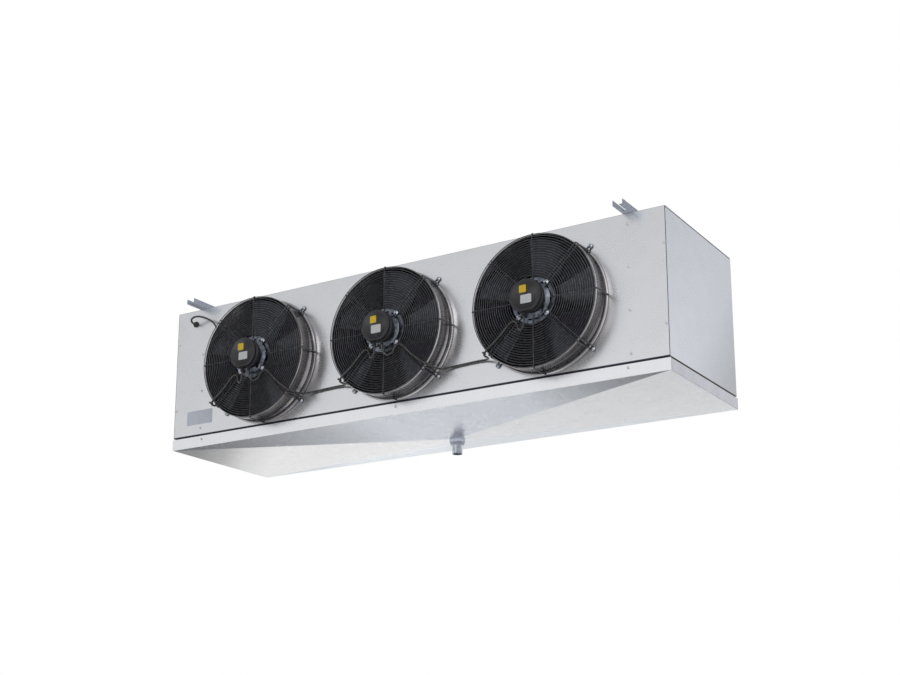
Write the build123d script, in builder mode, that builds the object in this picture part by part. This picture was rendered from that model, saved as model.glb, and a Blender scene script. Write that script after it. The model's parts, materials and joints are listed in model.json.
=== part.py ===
from build123d import *
import os
from math import cos, radians, sin, tan

# Walk-in unit cooler with three fans, hung from the ceiling of a cold store.
# X runs along the casing, the fans blow towards -Y, Z is up.
# The origin is the middle of the casing's top, where the hanging pattern is centred.

os.makedirs("parts", exist_ok=True)

# Fans. The casing's length and height follow from them.
fan_count = 3
fan_pitch = 643.5
fan_end_inset = 481.5
collar_bore = 494
fan_margin = 28
fan_low = 12

# Casing
casing_length = (fan_count - 1) * fan_pitch + 2 * fan_end_inset
casing_depth = 615
casing_height = collar_bore + 2 * fan_margin
sheet = 2
seat_gap = 0.3
fit_gap = 0.1
seam = 1
front_y = -casing_depth / 2
back_y = casing_depth / 2
end_x = casing_length / 2
flange_width = 25
flange_drop = 20
flange_end_gap = 8
top_shadow_gap = 3.5
fan_centres = [fan_pitch * (i - (fan_count - 1) / 2) for i in range(fan_count)]
fan_z = -casing_height / 2 - fan_low

# Collar of each fan
collar_reach = 84
collar_bend = 8
collar_ear_radius = 12
collar_lip = 2.5
collar_radius = collar_bore / 2
panel_hole_radius = collar_radius + sheet + collar_bend + seam
collar_flange_radius = panel_hole_radius + sheet

# Wire guard of each fan
guard_reach = 91
ring_wire = 3
strut_wire = 4.5
ring_count = 18
inner_ring_radius = 93
outer_ring_radius = collar_radius + seam
leg_gap = 0.75
guard_leg_radius = collar_radius + sheet + collar_lip + leg_gap + strut_wire / 2
strut_inner_radius = 74
strut_half_gap = 7
eyelet_radius = collar_flange_radius + collar_ear_radius + 0.5
wire_gap = 0.05
leg_bend = 6
base_ring_rise = 4
guard_bolt = 6
guard_bolt_head = 11
washer_rim = 3
washer_thick = 1.5
bolt_head_thick = 4.5
nut_thick = 5
bolt_tip = 1

# Motor of each fan
motor_flange_radius = 87
motor_flange_thick = 6
motor_screw_radius = 80
motor_screw = 5
motor_screw_head = 10
slot_circle_radius = 71
slot_count = 16
slot_length = 16
slot_width = 6
edge_round = 1.5
tube_clearance = 8
stator_tube_radius = 20
bearing_radius = 16
bearing_width = 9
shaft_radius = 6
shaft_play = 0.05
rotor_radius = 69
rotor_wall = 3.5
rotor_front = 76
rotor_back = 4.5
shaft_end_gap = 2
shaft_chamfer = 0.5
core_radius = 64
core_end_gap = 8
winding_step = 8
winding_reach = 5
winding_round = 3
terminal_neck_radius = 48
terminal_radius = 63
terminal_back = 112
terminal_seam = 134
terminal_front = 147.5
terminal_flat = 56
terminal_round = 3
lid_round = 4
lid_disc_radius = 50
lid_disc = 1
gland_offset = 16
gland_radius = 7
gland_length = 14

# Impeller of each fan: chord, pitch angle and forward lead of its blades at three radii
blade_count = 5
blade_tip_gap = 10
blade_tip_radius = collar_radius - blade_tip_gap
blade_thick = 3
blade_arch = 0.07
root_chord, root_pitch = 84, 40
middle_radius, middle_chord, middle_pitch, middle_lead = 150, 124, 29, 10
end_chord, end_pitch, end_lead = 176, 21, 34
hub_wall = 3.5
hub_front = 70
hub_back = 2.5
hub_rim = 15

# Panel screws, measured from the ends, the top and the bottom of the panel
panel_bolt_inset = 144
panel_bolt_top = 41
panel_bolt_bottom = 31
panel_bolt_rows = 4
panel_bolt_step = (casing_height - panel_bolt_top - panel_bolt_bottom) / (panel_bolt_rows - 1)
panel_bolt_drops = [panel_bolt_top + i * panel_bolt_step for i in range(panel_bolt_rows)]
end_screw_inset = 9
end_screw_top = 139
end_screw_bottom = 119
end_screw_drops = (end_screw_top, casing_height - end_screw_bottom)
tray_screw_inset = 156
tray_screw_drop = casing_height + 19
screw_shank = 5
screw_head = 10
screw_head_thick = 3
notch_width = screw_shank + 3
panel_bolt_length, end_screw_length, tray_screw_length = 10, 8, 11

# Coil
coil_depth = 200
coil_back_gap = 15.5
coil_top_gap = 22
tube_pitch = 50
tube_rows = int((casing_height - 2 * coil_top_gap) / tube_pitch)
tube_columns = 4
tube_radius = 8
fin_pitch = 10
fin_slot = 9
coil_core = 12
coil_end_gap = 3
bend_reach = 4
end_plate_x = end_x - panel_bolt_inset - flange_width / 2 + 0.5
coil_length = 2 * (end_plate_x - coil_end_gap)
coil_height = tube_rows * tube_pitch
coil_back = back_y - coil_back_gap
coil_front = coil_back - coil_depth
coil_bottom = -coil_top_gap - coil_height

# Refrigerant connections, at the back on the left. Each stub is a step thinner than its pipe.
suction_radius = 17.5
liquid_radius = 8
pipe_step = 1
pipe_reach = 40
step_reach = 2
pipe_hole_gap = 2
header_bore = 15
header_end = 30
suction_offset = 75
liquid_offset = 100
liquid_rise = 90
cone_front_y = coil_front + 20
cone_length = 35
cone_wide = 14
feeder_radius = 3
feeder_pitch = 7.2
feeder_run = 25
feeder_stagger = 8
feeder_rise = 20

# Hanging rails
rail_width = 40
rail_height = 20
rail_sheet = 3
rail_overhang = 85
rail_slot = 11
rail_slot_end = 29
rail_inset = 140
rail_bolt = 8
rail_bolt_head = 13
rail_bolt_head_thick = 5
rail_bolt_tip = 4
rail_bolt_spread = 420

# Drip tray
tray_proud = 2.5
tray_rim = 45
tray_gap = 5
tray_fall = 45
tray_low_x = 84
tray_floor = 56
tray_lip_drop = 30
lip_setback = 4
lip_end_gap = 16.5
hinge_radius = 4
hinge_x = end_plate_x - 39
hinge_y = back_y - 7.5
hinge_z = -casing_height - 15
hinge_pin_ends = 8
ear_thick = 3
ear_half = 7

# Drain
drain_radius = 21
drain_stub_radius = 20
drain_bore = 18
drain_length = 58
drain_tip = 1.5
drain_flange = 3
drain_seal_thick = 2
drain_nut_across = 60
drain_nut_thick = 14
drain_ring_radius = 27
drain_ring_thick = 8

# Cables
cable_diameter = 8
supply_gland_inset = 99
supply_gland_drop = 62
supply_gland_reach = 12
supply_gland_radius = 13
supply_gland_tail = 10


def facing(y, x=0, z=0):
    # drawing plane that looks out of the front of the unit, local y up
    return Plane(origin=(x, y, z), x_dir=(1, 0, 0), z_dir=(0, -1, 0))


def fan_place(centre_x):
    # fan pieces are drawn round Z with z = 0 on the front panel's face, forward is up
    return facing(front_y, centre_x, fan_z).location


def save_at_fans(piece, name):
    for number, centre_x in enumerate(fan_centres, 1):
        placed = piece.moved(fan_place(centre_x))
        placed.label = f"{name}_{number}"
        export_step(placed, f"parts/{name}_{number}.step")


def save_all_fans(piece, name):
    together = Compound(label=name, children=[piece.moved(fan_place(x)) for x in fan_centres])
    export_step(together, f"parts/{name}.step")


def bend_radii(points):
    # each corner gets the largest arc that its two runs allow
    corners = [Vector(*p) for p in points]
    radii = []
    for before, here, after in zip(corners, corners[1:], corners[2:]):
        turn = (here - before).get_angle(after - here)
        shorter = min((here - before).length, (after - here).length)
        radii.append(0.45 * shorter / tan(radians(turn / 2)))
    return radii


# Positions on the front panel
panel_bolt_places = [
    (side * (end_x - panel_bolt_inset), -drop) for side in (-1, 1) for drop in panel_bolt_drops
]
end_screw_places = [
    (side * (end_x - end_screw_inset), -drop) for side in (-1, 1) for drop in end_screw_drops
]
tray_screw_xs = [-(end_x - tray_screw_inset), 0, end_x - tray_screw_inset]
foot_angles = [45, 135, 225, 315]
foot_places = [
    (x + eyelet_radius * cos(radians(a)), fan_z + eyelet_radius * sin(radians(a)))
    for x in fan_centres
    for a in foot_angles
]
supply_gland_x = supply_gland_inset - end_x
rail_x = end_x - rail_inset
rail_bolt_places = [
    (side * rail_x, end * rail_bolt_spread / 2) for side in (-1, 1) for end in (-1, 1)
]

# Front panel
with BuildPart() as front_panel:
    with BuildSketch(facing(front_y + sheet)):
        with Locations((0, -(casing_height + sheet) / 2)):
            Rectangle(casing_length, casing_height - sheet)
        with Locations(*[(x, fan_z) for x in fan_centres]):
            Circle(panel_hole_radius, mode=Mode.SUBTRACT)
        with Locations(*foot_places):
            Circle(guard_bolt / 2 + seat_gap, mode=Mode.SUBTRACT)
        with Locations(*panel_bolt_places, *end_screw_places):
            Circle(screw_shank / 2 + fit_gap, mode=Mode.SUBTRACT)
        with Locations((supply_gland_x, -supply_gland_drop)):
            Circle(cable_diameter, mode=Mode.SUBTRACT)
    extrude(amount=sheet)
    # return and lip that hang inside the tray's rim
    lip_length = casing_length - 2 * flange_width - 4 * sheet
    lip_middle = -casing_height - tray_lip_drop / 2 + sheet / 2
    with BuildSketch(Plane.YZ.offset(-lip_length / 2)):
        with Locations((front_y + (lip_setback + sheet) / 2, -casing_height + sheet / 2)):
            Rectangle(lip_setback + sheet, sheet)
        with Locations((front_y + lip_setback + sheet / 2, lip_middle)):
            Rectangle(sheet, tray_lip_drop + sheet)
    extrude(amount=lip_length)
    # notches open at the bottom, so that the tray's screws slide out of them
    notch_height = casing_height + tray_lip_drop - tray_screw_drop + notch_width / 2
    with BuildSketch(facing(front_y + lip_setback + sheet)):
        with Locations(*[(x, -casing_height - tray_lip_drop) for x in tray_screw_xs]):
            Rectangle(notch_width, 2 * notch_height)
    extrude(amount=sheet, mode=Mode.SUBTRACT)
front_panel.part.label = "front_panel"
export_step(front_panel.part, "parts/front_panel.step")

# Top panel, with flanges turned down inside the side covers and between the end plates
top_flange_x = end_x - sheet - sheet / 2
flange_run = 2 * (end_plate_x - flange_end_gap)
with BuildPart() as top_panel:
    with BuildSketch(Plane.XY.offset(-sheet)):
        Rectangle(casing_length, casing_depth)
        fillet(vertices(), sheet)
    extrude(amount=sheet)
    with BuildSketch(Plane.XY.offset(-sheet - flange_drop)):
        with Locations((-top_flange_x, 0), (top_flange_x, 0)):
            Rectangle(sheet, casing_depth - 4 * sheet - seam)
        with Locations((0, front_y + 1.5 * sheet), (0, back_y - 1.5 * sheet)):
            Rectangle(flange_run, sheet)
    extrude(amount=flange_drop)
    with BuildSketch(Plane.XY.offset(-sheet)):
        with Locations(*rail_bolt_places):
            Circle(rail_bolt / 2 + fit_gap)
    extrude(amount=sheet, mode=Mode.SUBTRACT)
top_panel.part.label = "top_panel"
export_step(top_panel.part, "parts/top_panel.step")

# Right side cover: a plate with returns behind the front panel and round the back
cover_top = -sheet - top_shadow_gap
cover_height = casing_height + cover_top
rear_return = end_x - end_plate_x - flange_width - sheet - seam
with BuildPart() as side_cover_right:
    with BuildSketch(Plane.XY.offset(-casing_height)):
        with BuildLine():
            Polyline(
                (end_x - flange_width, front_y + 1.5 * sheet),
                (end_x - sheet / 2, front_y + 1.5 * sheet),
                (end_x - sheet / 2, back_y - sheet / 2),
                (end_x - rear_return, back_y - sheet / 2),
            )
            offset(amount=sheet / 2, side=Side.BOTH, kind=Kind.INTERSECTION)
        make_face()
    extrude(amount=cover_height)
    with BuildSketch(facing(front_y + 2 * sheet)):
        with Locations(*[(x, z) for x, z in end_screw_places if x > 0]):
            Circle(screw_shank / 2 + fit_gap)
    extrude(amount=sheet, mode=Mode.SUBTRACT)
    # bottom return and the lip inside the tray's rim
    lip_run = casing_depth - 2 * lip_end_gap
    with BuildSketch(Plane.XZ.offset(-lip_run / 2)):
        with Locations((end_x - (lip_setback + sheet) / 2 - sheet / 2, -casing_height + sheet / 2)):
            Rectangle(lip_setback + sheet, sheet)
        with Locations((end_x - lip_setback - sheet, lip_middle)):
            Rectangle(sheet, tray_lip_drop + sheet)
    extrude(amount=lip_run)
side_cover_right.part.label = "side_cover_right"
export_step(side_cover_right.part, "parts/side_cover_right.step")

# Refrigerant pipes leave through the back of the left cover
suction_z = coil_bottom + coil_height - tube_pitch / 2
liquid_z = coil_bottom + tube_pitch / 2 + liquid_rise
pipe_x = -(end_plate_x + suction_offset)
liquid_x = -(end_plate_x + liquid_offset)
with BuildPart() as side_cover_left:
    mirror(side_cover_right.part, about=Plane.YZ)
    with BuildSketch(facing(back_y)):
        with Locations((pipe_x, suction_z)):
            Circle(suction_radius + pipe_step + pipe_hole_gap)
        with Locations((liquid_x, liquid_z)):
            Circle(liquid_radius + pipe_step + pipe_hole_gap)
    extrude(amount=sheet, mode=Mode.SUBTRACT)
side_cover_left.part.label = "side_cover_left"
export_step(side_cover_left.part, "parts/side_cover_left.step")

# Coil end plates, with flanges behind the front panel and at the back, and a hole for every tube
tube_places = [
    (coil_front + tube_pitch * (column + 0.5), coil_bottom + tube_pitch * (row + 0.5))
    for column in range(tube_columns)
    for row in range(tube_rows)
]
plate_height = casing_height - 2 * sheet
with BuildPart() as end_plate_right:
    with BuildSketch(Plane.XY.offset(-casing_height + sheet)):
        with BuildLine():
            Polyline(
                (end_plate_x + flange_width, front_y + 1.5 * sheet),
                (end_plate_x + sheet / 2, front_y + 1.5 * sheet),
                (end_plate_x + sheet / 2, back_y - 1.5 * sheet),
                (end_plate_x + flange_width, back_y - 1.5 * sheet),
            )
            offset(amount=sheet / 2, side=Side.BOTH, kind=Kind.INTERSECTION)
        make_face()
    extrude(amount=plate_height)
    with BuildSketch(Plane.XY.offset(-2 * sheet)):
        with Locations((end_plate_x + flange_width / 2, 0)):
            Rectangle(flange_width, rail_bolt_spread + 4 * flange_width)
        with Locations(*[(x, y) for x, y in rail_bolt_places if x > 0]):
            Circle(rail_bolt / 2 + fit_gap, mode=Mode.SUBTRACT)
    extrude(amount=sheet)
    with BuildSketch(Plane.YZ.offset(end_plate_x)):
        with Locations(*tube_places):
            Circle(tube_radius + seat_gap)
    extrude(amount=sheet, mode=Mode.SUBTRACT)
    with BuildSketch(facing(front_y + 2 * sheet)):
        with Locations(*[(x, z) for x, z in panel_bolt_places if x > 0]):
            Circle(screw_shank / 2 + fit_gap)
    extrude(amount=sheet, mode=Mode.SUBTRACT)
end_plate_right.part.label = "end_plate_right"
export_step(end_plate_right.part, "parts/end_plate_right.step")

with BuildPart() as end_plate_left:
    mirror(end_plate_right.part, about=Plane.YZ)
end_plate_left.part.label = "end_plate_left"
export_step(end_plate_left.part, "parts/end_plate_left.step")

# Baffles between the fans, flanged against the front panel
baffle_run = coil_front - 2 * seam - (front_y + sheet)
with BuildPart() as baffles:
    with BuildSketch(Plane.XY.offset(-casing_height + sheet)):
        for x in [(a + b) / 2 for a, b in zip(fan_centres, fan_centres[1:])]:
            with BuildLine():
                Polyline(
                    (x + flange_width, front_y + 1.5 * sheet),
                    (x, front_y + 1.5 * sheet),
                    (x, front_y + sheet + baffle_run),
                )
                offset(amount=sheet / 2, side=Side.BOTH, kind=Kind.INTERSECTION)
            make_face()
    extrude(amount=plate_height)
    # notch round the top panel's front flange
    with BuildSketch(facing(front_y + 2 * sheet + seat_gap)):
        with Locations((0, -sheet - flange_drop / 2)):
            Rectangle(flange_run, flange_drop + 2 * seat_gap)
    extrude(amount=sheet + 2 * seat_gap, mode=Mode.SUBTRACT)
baffles.part.label = "baffles"
export_step(baffles.part, "parts/baffles.step")

# Rear rail under the coil, with the ears that carry the tray's hinge pins
rail_length = 2 * end_plate_x - seam
with BuildPart() as rear_rail:
    with BuildSketch(Plane.YZ.offset(-rail_length / 2)):
        with Locations((back_y - 1.5 * sheet, -casing_height + sheet + tray_rim / 2)):
            Rectangle(sheet, tray_rim)
        with Locations((back_y - sheet - tray_rim / 2, -casing_height + 1.5 * sheet)):
            Rectangle(tray_rim, sheet)
    extrude(amount=rail_length)
    for side in (-1, 1):
        with BuildSketch(Plane.YZ.offset(side * hinge_x - ear_thick / 2)):
            with BuildLine():
                Polyline(
                    (hinge_y - ear_half, -casing_height + sheet),
                    (hinge_y - ear_half, hinge_z),
                    (hinge_y + ear_half, hinge_z),
                    (hinge_y + ear_half, -casing_height + sheet),
                    close=True,
                )
            make_face()
            with Locations((hinge_y, hinge_z)):
                Circle(ear_half)
                Circle(hinge_radius + shaft_play, mode=Mode.SUBTRACT)
        extrude(amount=ear_thick)
rear_rail.part.label = "rear_rail"
export_step(rear_rail.part, "parts/rear_rail.step")

# Coil block: fins that a core joins half-way through the depth, where the tubes run
fin_count = int(coil_length / fin_pitch)
fin_depth = (coil_depth - coil_core) / 2
with BuildPart() as coil_fins:
    with BuildSketch(Plane.XY.offset(coil_bottom)):
        with Locations((0, (coil_front + coil_back) / 2)):
            Rectangle(coil_length, coil_depth)
        with Locations((0, coil_back - fin_depth / 2), (0, coil_front + fin_depth / 2)):
            with GridLocations(fin_pitch, 1, fin_count, 1):
                Rectangle(fin_slot, fin_depth, mode=Mode.SUBTRACT)
    extrude(amount=coil_height)
coil_fins.part.label = "coil_fins"
export_step(coil_fins.part, "parts/coil_fins.step")


# Return bends: hairpins that lead a circuit from one row to the next, up each column
def return_bends(side, first_row):
    stub = end_plate_x + sheet + bend_reach - coil_length / 2
    with BuildPart() as bends:
        for column in range(tube_columns):
            y = coil_front + tube_pitch * (column + 0.5)
            for row in range(first_row, tube_rows - 1, 2):
                z = coil_bottom + tube_pitch * (row + 0.5)
                with BuildLine() as path:
                    start = Vector(side * coil_length / 2, y, z)
                    turn = start + Vector(side * stub, 0, 0)
                    Line(start, turn)
                    ThreePointArc(
                        turn,
                        turn + Vector(side * tube_pitch / 2, 0, tube_pitch / 2),
                        turn + Vector(0, 0, tube_pitch),
                    )
                    Line(turn + Vector(0, 0, tube_pitch), start + Vector(0, 0, tube_pitch))
                with BuildSketch(Plane(origin=start, z_dir=(side, 0, 0))):
                    Circle(tube_radius)
                sweep(path=path.wire())
    return bends.part


right_bends = return_bends(1, 0)
right_bends.label = "return_bends_right"
export_step(right_bends, "parts/return_bends_right.step")
left_bends = return_bends(-1, 1)
left_bends.label = "return_bends_left"
export_step(left_bends, "parts/return_bends_left.step")

# Suction header: four stubs from the top row into one pipe that leaves at the back
stub_end = pipe_x + suction_radius / 2
top_row_z = coil_bottom + tube_pitch * (tube_rows - 0.5)
header_front = coil_front + tube_pitch / 2 - header_end
header_back = back_y + pipe_reach
stub_start = back_y + step_reach
with BuildPart() as suction_header:
    with BuildSketch(facing(header_back, pipe_x, suction_z)):
        Circle(suction_radius)
    extrude(amount=header_back - header_front)
    with BuildSketch(facing(stub_start, pipe_x, suction_z)):
        Circle(suction_radius + pipe_step)
    extrude(amount=stub_start - header_front)
    for column in range(tube_columns):
        y = coil_front + tube_pitch * (column + 0.5)
        with BuildSketch(Plane(origin=(-coil_length / 2, y, top_row_z), z_dir=(-1, 0, 0))):
            Circle(tube_radius)
        extrude(amount=-coil_length / 2 - stub_end)
    with BuildSketch(facing(header_back, pipe_x, suction_z)):
        Circle(header_bore)
    extrude(amount=pipe_reach + sheet, mode=Mode.SUBTRACT)
suction_header.part.label = "suction_header"
export_step(suction_header.part, "parts/suction_header.step")

# Liquid distributor: a cone with four feeder tubes to the bottom row
bottom_row_z = coil_bottom + tube_pitch / 2
cone_back_y = cone_front_y + cone_length
with BuildPart() as liquid_distributor:
    with BuildSketch(facing(header_back, liquid_x, liquid_z)):
        Circle(liquid_radius)
    extrude(amount=header_back - cone_back_y)
    with BuildSketch(facing(stub_start, liquid_x, liquid_z)):
        Circle(liquid_radius + pipe_step)
    extrude(amount=stub_start - cone_back_y)
    with BuildSketch(facing(cone_back_y, liquid_x, liquid_z)):
        Circle(liquid_radius + pipe_step)
    with BuildSketch(facing(cone_front_y, liquid_x, liquid_z)):
        Circle(cone_wide)
    loft()
    for column in range(tube_columns):
        y = coil_front + tube_pitch * (column + 0.5)
        feeder_x = liquid_x + feeder_pitch * (column - (tube_columns - 1) / 2)
        low_y = cone_front_y - feeder_run - feeder_stagger * column
        route = [
            (feeder_x, cone_front_y + seam, liquid_z),
            (feeder_x, cone_front_y - feeder_run, liquid_z),
            (feeder_x, low_y, bottom_row_z + feeder_rise),
            (feeder_x, y, bottom_row_z),
            (-coil_length / 2 - feeder_run + bend_reach, y, bottom_row_z),
        ]
        with BuildLine() as feeder:
            FilletPolyline(*route, radius=bend_radii(route))
        with BuildSketch(Plane(origin=route[0], z_dir=(0, -1, 0))):
            Circle(feeder_radius)
        sweep(path=feeder.wire())
        with BuildSketch(Plane(origin=(-coil_length / 2, y, bottom_row_z), z_dir=(-1, 0, 0))):
            Circle(tube_radius)
        extrude(amount=feeder_run)
    with BuildSketch(facing(header_back, liquid_x, liquid_z)):
        Circle(liquid_radius - pipe_step)
    extrude(amount=pipe_reach + sheet, mode=Mode.SUBTRACT)
liquid_distributor.part.label = "liquid_distributor"
export_step(liquid_distributor.part, "parts/liquid_distributor.step")

# Hanging rails: upturned channels with an open slot at each end for a hanging rod
rail_run = casing_depth + 2 * rail_overhang
slot_run = rail_overhang - rail_slot_end
for side, name in ((-1, "hanging_rail_left"), (1, "hanging_rail_right")):
    with BuildPart() as hanging_rail:
        with BuildSketch(facing(rail_run / 2, side * rail_x)):
            with Locations((0, rail_height / 2)):
                Rectangle(rail_width, rail_height)
            with Locations((0, rail_sheet + rail_height / 2)):
                Rectangle(rail_width - 2 * rail_sheet, rail_height, mode=Mode.SUBTRACT)
        extrude(amount=rail_run)
        with BuildSketch(Plane.XY):
            with Locations(*[(side * rail_x, end * (rail_run - slot_run) / 2) for end in (-1, 1)]):
                Rectangle(rail_slot, slot_run)
            with Locations(*[(side * rail_x, end * (rail_run / 2 - slot_run)) for end in (-1, 1)]):
                Circle(rail_slot / 2)
            with Locations(*[(x, y) for x, y in rail_bolt_places if x * side > 0]):
                Circle(rail_bolt / 2 + fit_gap)
        extrude(amount=rail_sheet, mode=Mode.SUBTRACT)
    hanging_rail.part.label = name
    export_step(hanging_rail.part, f"parts/{name}.step")

# Drip tray pan: a floor that falls from all sides to the drain, with bands and end walls round it
tray_top = -casing_height - tray_gap
tray_base = tray_top - tray_rim
tray_low = tray_base - tray_fall
tray_half_y = back_y + tray_proud
pan_half_x = end_x + tray_proud - sheet - seat_gap
pan_half_y = tray_half_y - sheet
band_half_x = end_x + tray_proud
with BuildPart() as tray_bottom:
    with BuildSketch(Plane.XY.offset(tray_base)):
        Rectangle(2 * pan_half_x, 2 * pan_half_y)
    extrude(amount=sheet)
    with BuildSketch(Plane.XY.offset(tray_base)):
        Rectangle(2 * pan_half_x, 2 * pan_half_y)
    with BuildSketch(Plane.XY.offset(tray_low)):
        with Locations((tray_low_x, 0)):
            Rectangle(tray_floor, tray_floor)
    loft(ruled=True)
    with BuildSketch(Plane.XY.offset(tray_base + sheet)):
        Rectangle(2 * (pan_half_x - sheet), 2 * (pan_half_y - sheet))
    with BuildSketch(Plane.XY.offset(tray_low + sheet)):
        with Locations((tray_low_x, 0)):
            Rectangle(tray_floor, tray_floor)
    loft(ruled=True, mode=Mode.SUBTRACT)
    with BuildSketch(Plane.XY.offset(tray_low)):
        with Locations((tray_low_x, 0)):
            Circle(drain_radius + seat_gap)
    extrude(amount=sheet, mode=Mode.SUBTRACT)
# the floor as four slopes round a flat middle, cut along its fold lines
outer_corners = [(-pan_half_x, -pan_half_y), (pan_half_x, -pan_half_y)]
outer_corners += [(pan_half_x, pan_half_y), (-pan_half_x, pan_half_y)]
flat_half = tray_floor / 2
inner_corners = [(tray_low_x - flat_half, -flat_half), (tray_low_x + flat_half, -flat_half)]
inner_corners += [(tray_low_x + flat_half, flat_half), (tray_low_x - flat_half, flat_half)]
floor_plans = [inner_corners]
for k in range(4):
    after = (k + 1) % 4
    floor_plans.append(
        [outer_corners[k], outer_corners[after], inner_corners[after], inner_corners[k]]
    )
floor_pieces = []
for plan in floor_plans:
    with BuildPart() as floor_piece:
        add(tray_bottom.part)
        with BuildSketch(Plane.XY.offset(tray_low)):
            Polygon(*plan, align=None)
        extrude(amount=tray_fall + sheet, mode=Mode.INTERSECT)
    floor_pieces.append(floor_piece.part)
with BuildPart() as tray_front:
    with BuildSketch(facing(-pan_half_y, 0, tray_base + tray_rim / 2)):
        Rectangle(2 * band_half_x, tray_rim)
    extrude(amount=sheet)
    with BuildSketch(facing(-pan_half_y)):
        with Locations(*[(x, -tray_screw_drop) for x in tray_screw_xs]):
            Circle(screw_shank / 2 + fit_gap)
    extrude(amount=sheet, mode=Mode.SUBTRACT)
with BuildPart() as tray_back:
    with BuildSketch(facing(tray_half_y, 0, tray_base + tray_rim / 2)):
        Rectangle(2 * band_half_x, tray_rim)
    extrude(amount=sheet)
    # ears next to the ears of the rear rail
    for side in (-1, 1):
        ear_x = side * (hinge_x + ear_thick + seam)
        with BuildSketch(Plane.YZ.offset(ear_x - ear_thick / 2)):
            with Locations((hinge_y, hinge_z)):
                Circle(ear_half)
            with Locations(((hinge_y + tray_half_y - sheet / 2) / 2, hinge_z)):
                Rectangle(tray_half_y - sheet / 2 - hinge_y, 2 * ear_half)
            with Locations((hinge_y, hinge_z)):
                Circle(hinge_radius, mode=Mode.SUBTRACT)
        extrude(amount=ear_thick)
    # notches in which the rail's ears stand while the tray swings down
    rail_notch = tray_top - hinge_z + ear_half
    with BuildSketch(facing(tray_half_y)):
        with Locations(*[(side * hinge_x, tray_top - rail_notch / 2) for side in (-1, 1)]):
            Rectangle(ear_thick + 2 * seam, rail_notch)
    extrude(amount=sheet, mode=Mode.SUBTRACT)
with BuildPart() as tray_walls:
    wall_base = tray_base + sheet
    with BuildSketch(Plane.XY.offset(wall_base)):
        with Locations((-pan_half_x + sheet / 2, 0), (pan_half_x - sheet / 2, 0)):
            Rectangle(sheet, 2 * pan_half_y)
    extrude(amount=tray_top - wall_base)
tray_pan = Compound(
    label="tray_pan",
    children=floor_pieces + [tray_front.part, tray_back.part, tray_walls.part],
)
export_step(tray_pan, "parts/tray_pan.step")

# End plates of the tray, outside the pan, with a seam all round
end_plate_run = 2 * (pan_half_y - seam)
for side, name in ((-1, "tray_end_left"), (1, "tray_end_right")):
    with BuildPart() as tray_end:
        with BuildSketch(Plane.YZ.offset(side * (end_x + tray_proud - sheet / 2) - sheet / 2)):
            with Locations((0, tray_base + tray_rim / 2)):
                Rectangle(end_plate_run, tray_rim - 3)
        extrude(amount=sheet)
    tray_end.part.label = name
    export_step(tray_end.part, f"parts/{name}.step")

# Hinge pins, fixed in the tray's ears and free in the rail's
pin_length = 2 * ear_thick + hinge_pin_ends
with BuildPart() as hinge_pins:
    for side in (-1, 1):
        pin_middle = side * (hinge_x + (ear_thick + seam) / 2)
        with BuildSketch(Plane.YZ.offset(pin_middle - pin_length / 2)):
            with Locations((hinge_y, hinge_z)):
                Circle(hinge_radius)
        extrude(amount=pin_length)
hinge_pins.part.label = "hinge_pins"
export_step(hinge_pins.part, "parts/hinge_pins.step")

# Drain: flanged tail through the tray floor, seal above it, hex nut and lock ring below.
# The thread ends just below the lock ring, and a thinner stub for the waste pipe follows.
drain_top = tray_low + sheet + drain_seal_thick + drain_flange
drain_down = tray_low - drain_length
thread_end = tray_low - drain_nut_thick - drain_ring_thick - 0.5
with BuildPart() as drain_tail:
    with BuildSketch(facing(0, tray_low_x)):
        with BuildLine():
            Polyline(
                (drain_bore, drain_top),
                (drain_ring_radius, drain_top),
                (drain_ring_radius, drain_top - drain_flange),
                (drain_radius, drain_top - drain_flange),
                (drain_radius, thread_end),
                (drain_stub_radius, thread_end - drain_radius + drain_stub_radius),
                (drain_stub_radius, drain_down + drain_tip),
                (drain_stub_radius - drain_tip, drain_down),
                (drain_bore, drain_down),
                close=True,
            )
        make_face()
    revolve(axis=Axis((tray_low_x, 0, 0), (0, 0, 1)))
drain_tail.part.label = "drain_tail"
export_step(drain_tail.part, "parts/drain_tail.step")

with BuildPart() as drain_seal:
    with BuildSketch(Plane.XY.offset(tray_low + sheet)):
        with Locations((tray_low_x, 0)):
            Circle(drain_ring_radius)
            Circle(drain_radius + fit_gap, mode=Mode.SUBTRACT)
    extrude(amount=drain_seal_thick)
drain_seal.part.label = "drain_seal"
export_step(drain_seal.part, "parts/drain_seal.step")

with BuildPart() as drain_nut:
    with BuildSketch(Plane.XY.offset(tray_low - drain_nut_thick)):
        with Locations((tray_low_x, 0)):
            RegularPolygon(drain_nut_across / 2, 6, major_radius=False)
    extrude(amount=drain_nut_thick)
    chamfer(drain_nut.faces().sort_by(Axis.Z)[0].edges(), edge_round)
    with BuildSketch(Plane.XY.offset(tray_low - drain_nut_thick - drain_ring_thick)):
        with Locations((tray_low_x, 0)):
            Circle(drain_ring_radius)
    extrude(amount=drain_ring_thick)
    with BuildSketch(Plane.XY.offset(tray_low - drain_nut_thick - drain_ring_thick)):
        with Locations((tray_low_x, 0)):
            Circle(drain_radius + fit_gap)
    extrude(amount=drain_nut_thick + drain_ring_thick, mode=Mode.SUBTRACT)
drain_nut.part.label = "drain_nut"
export_step(drain_nut.part, "parts/drain_nut.step")

foot_spots = [
    (eyelet_radius * cos(radians(a)), eyelet_radius * sin(radians(a))) for a in foot_angles
]

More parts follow.
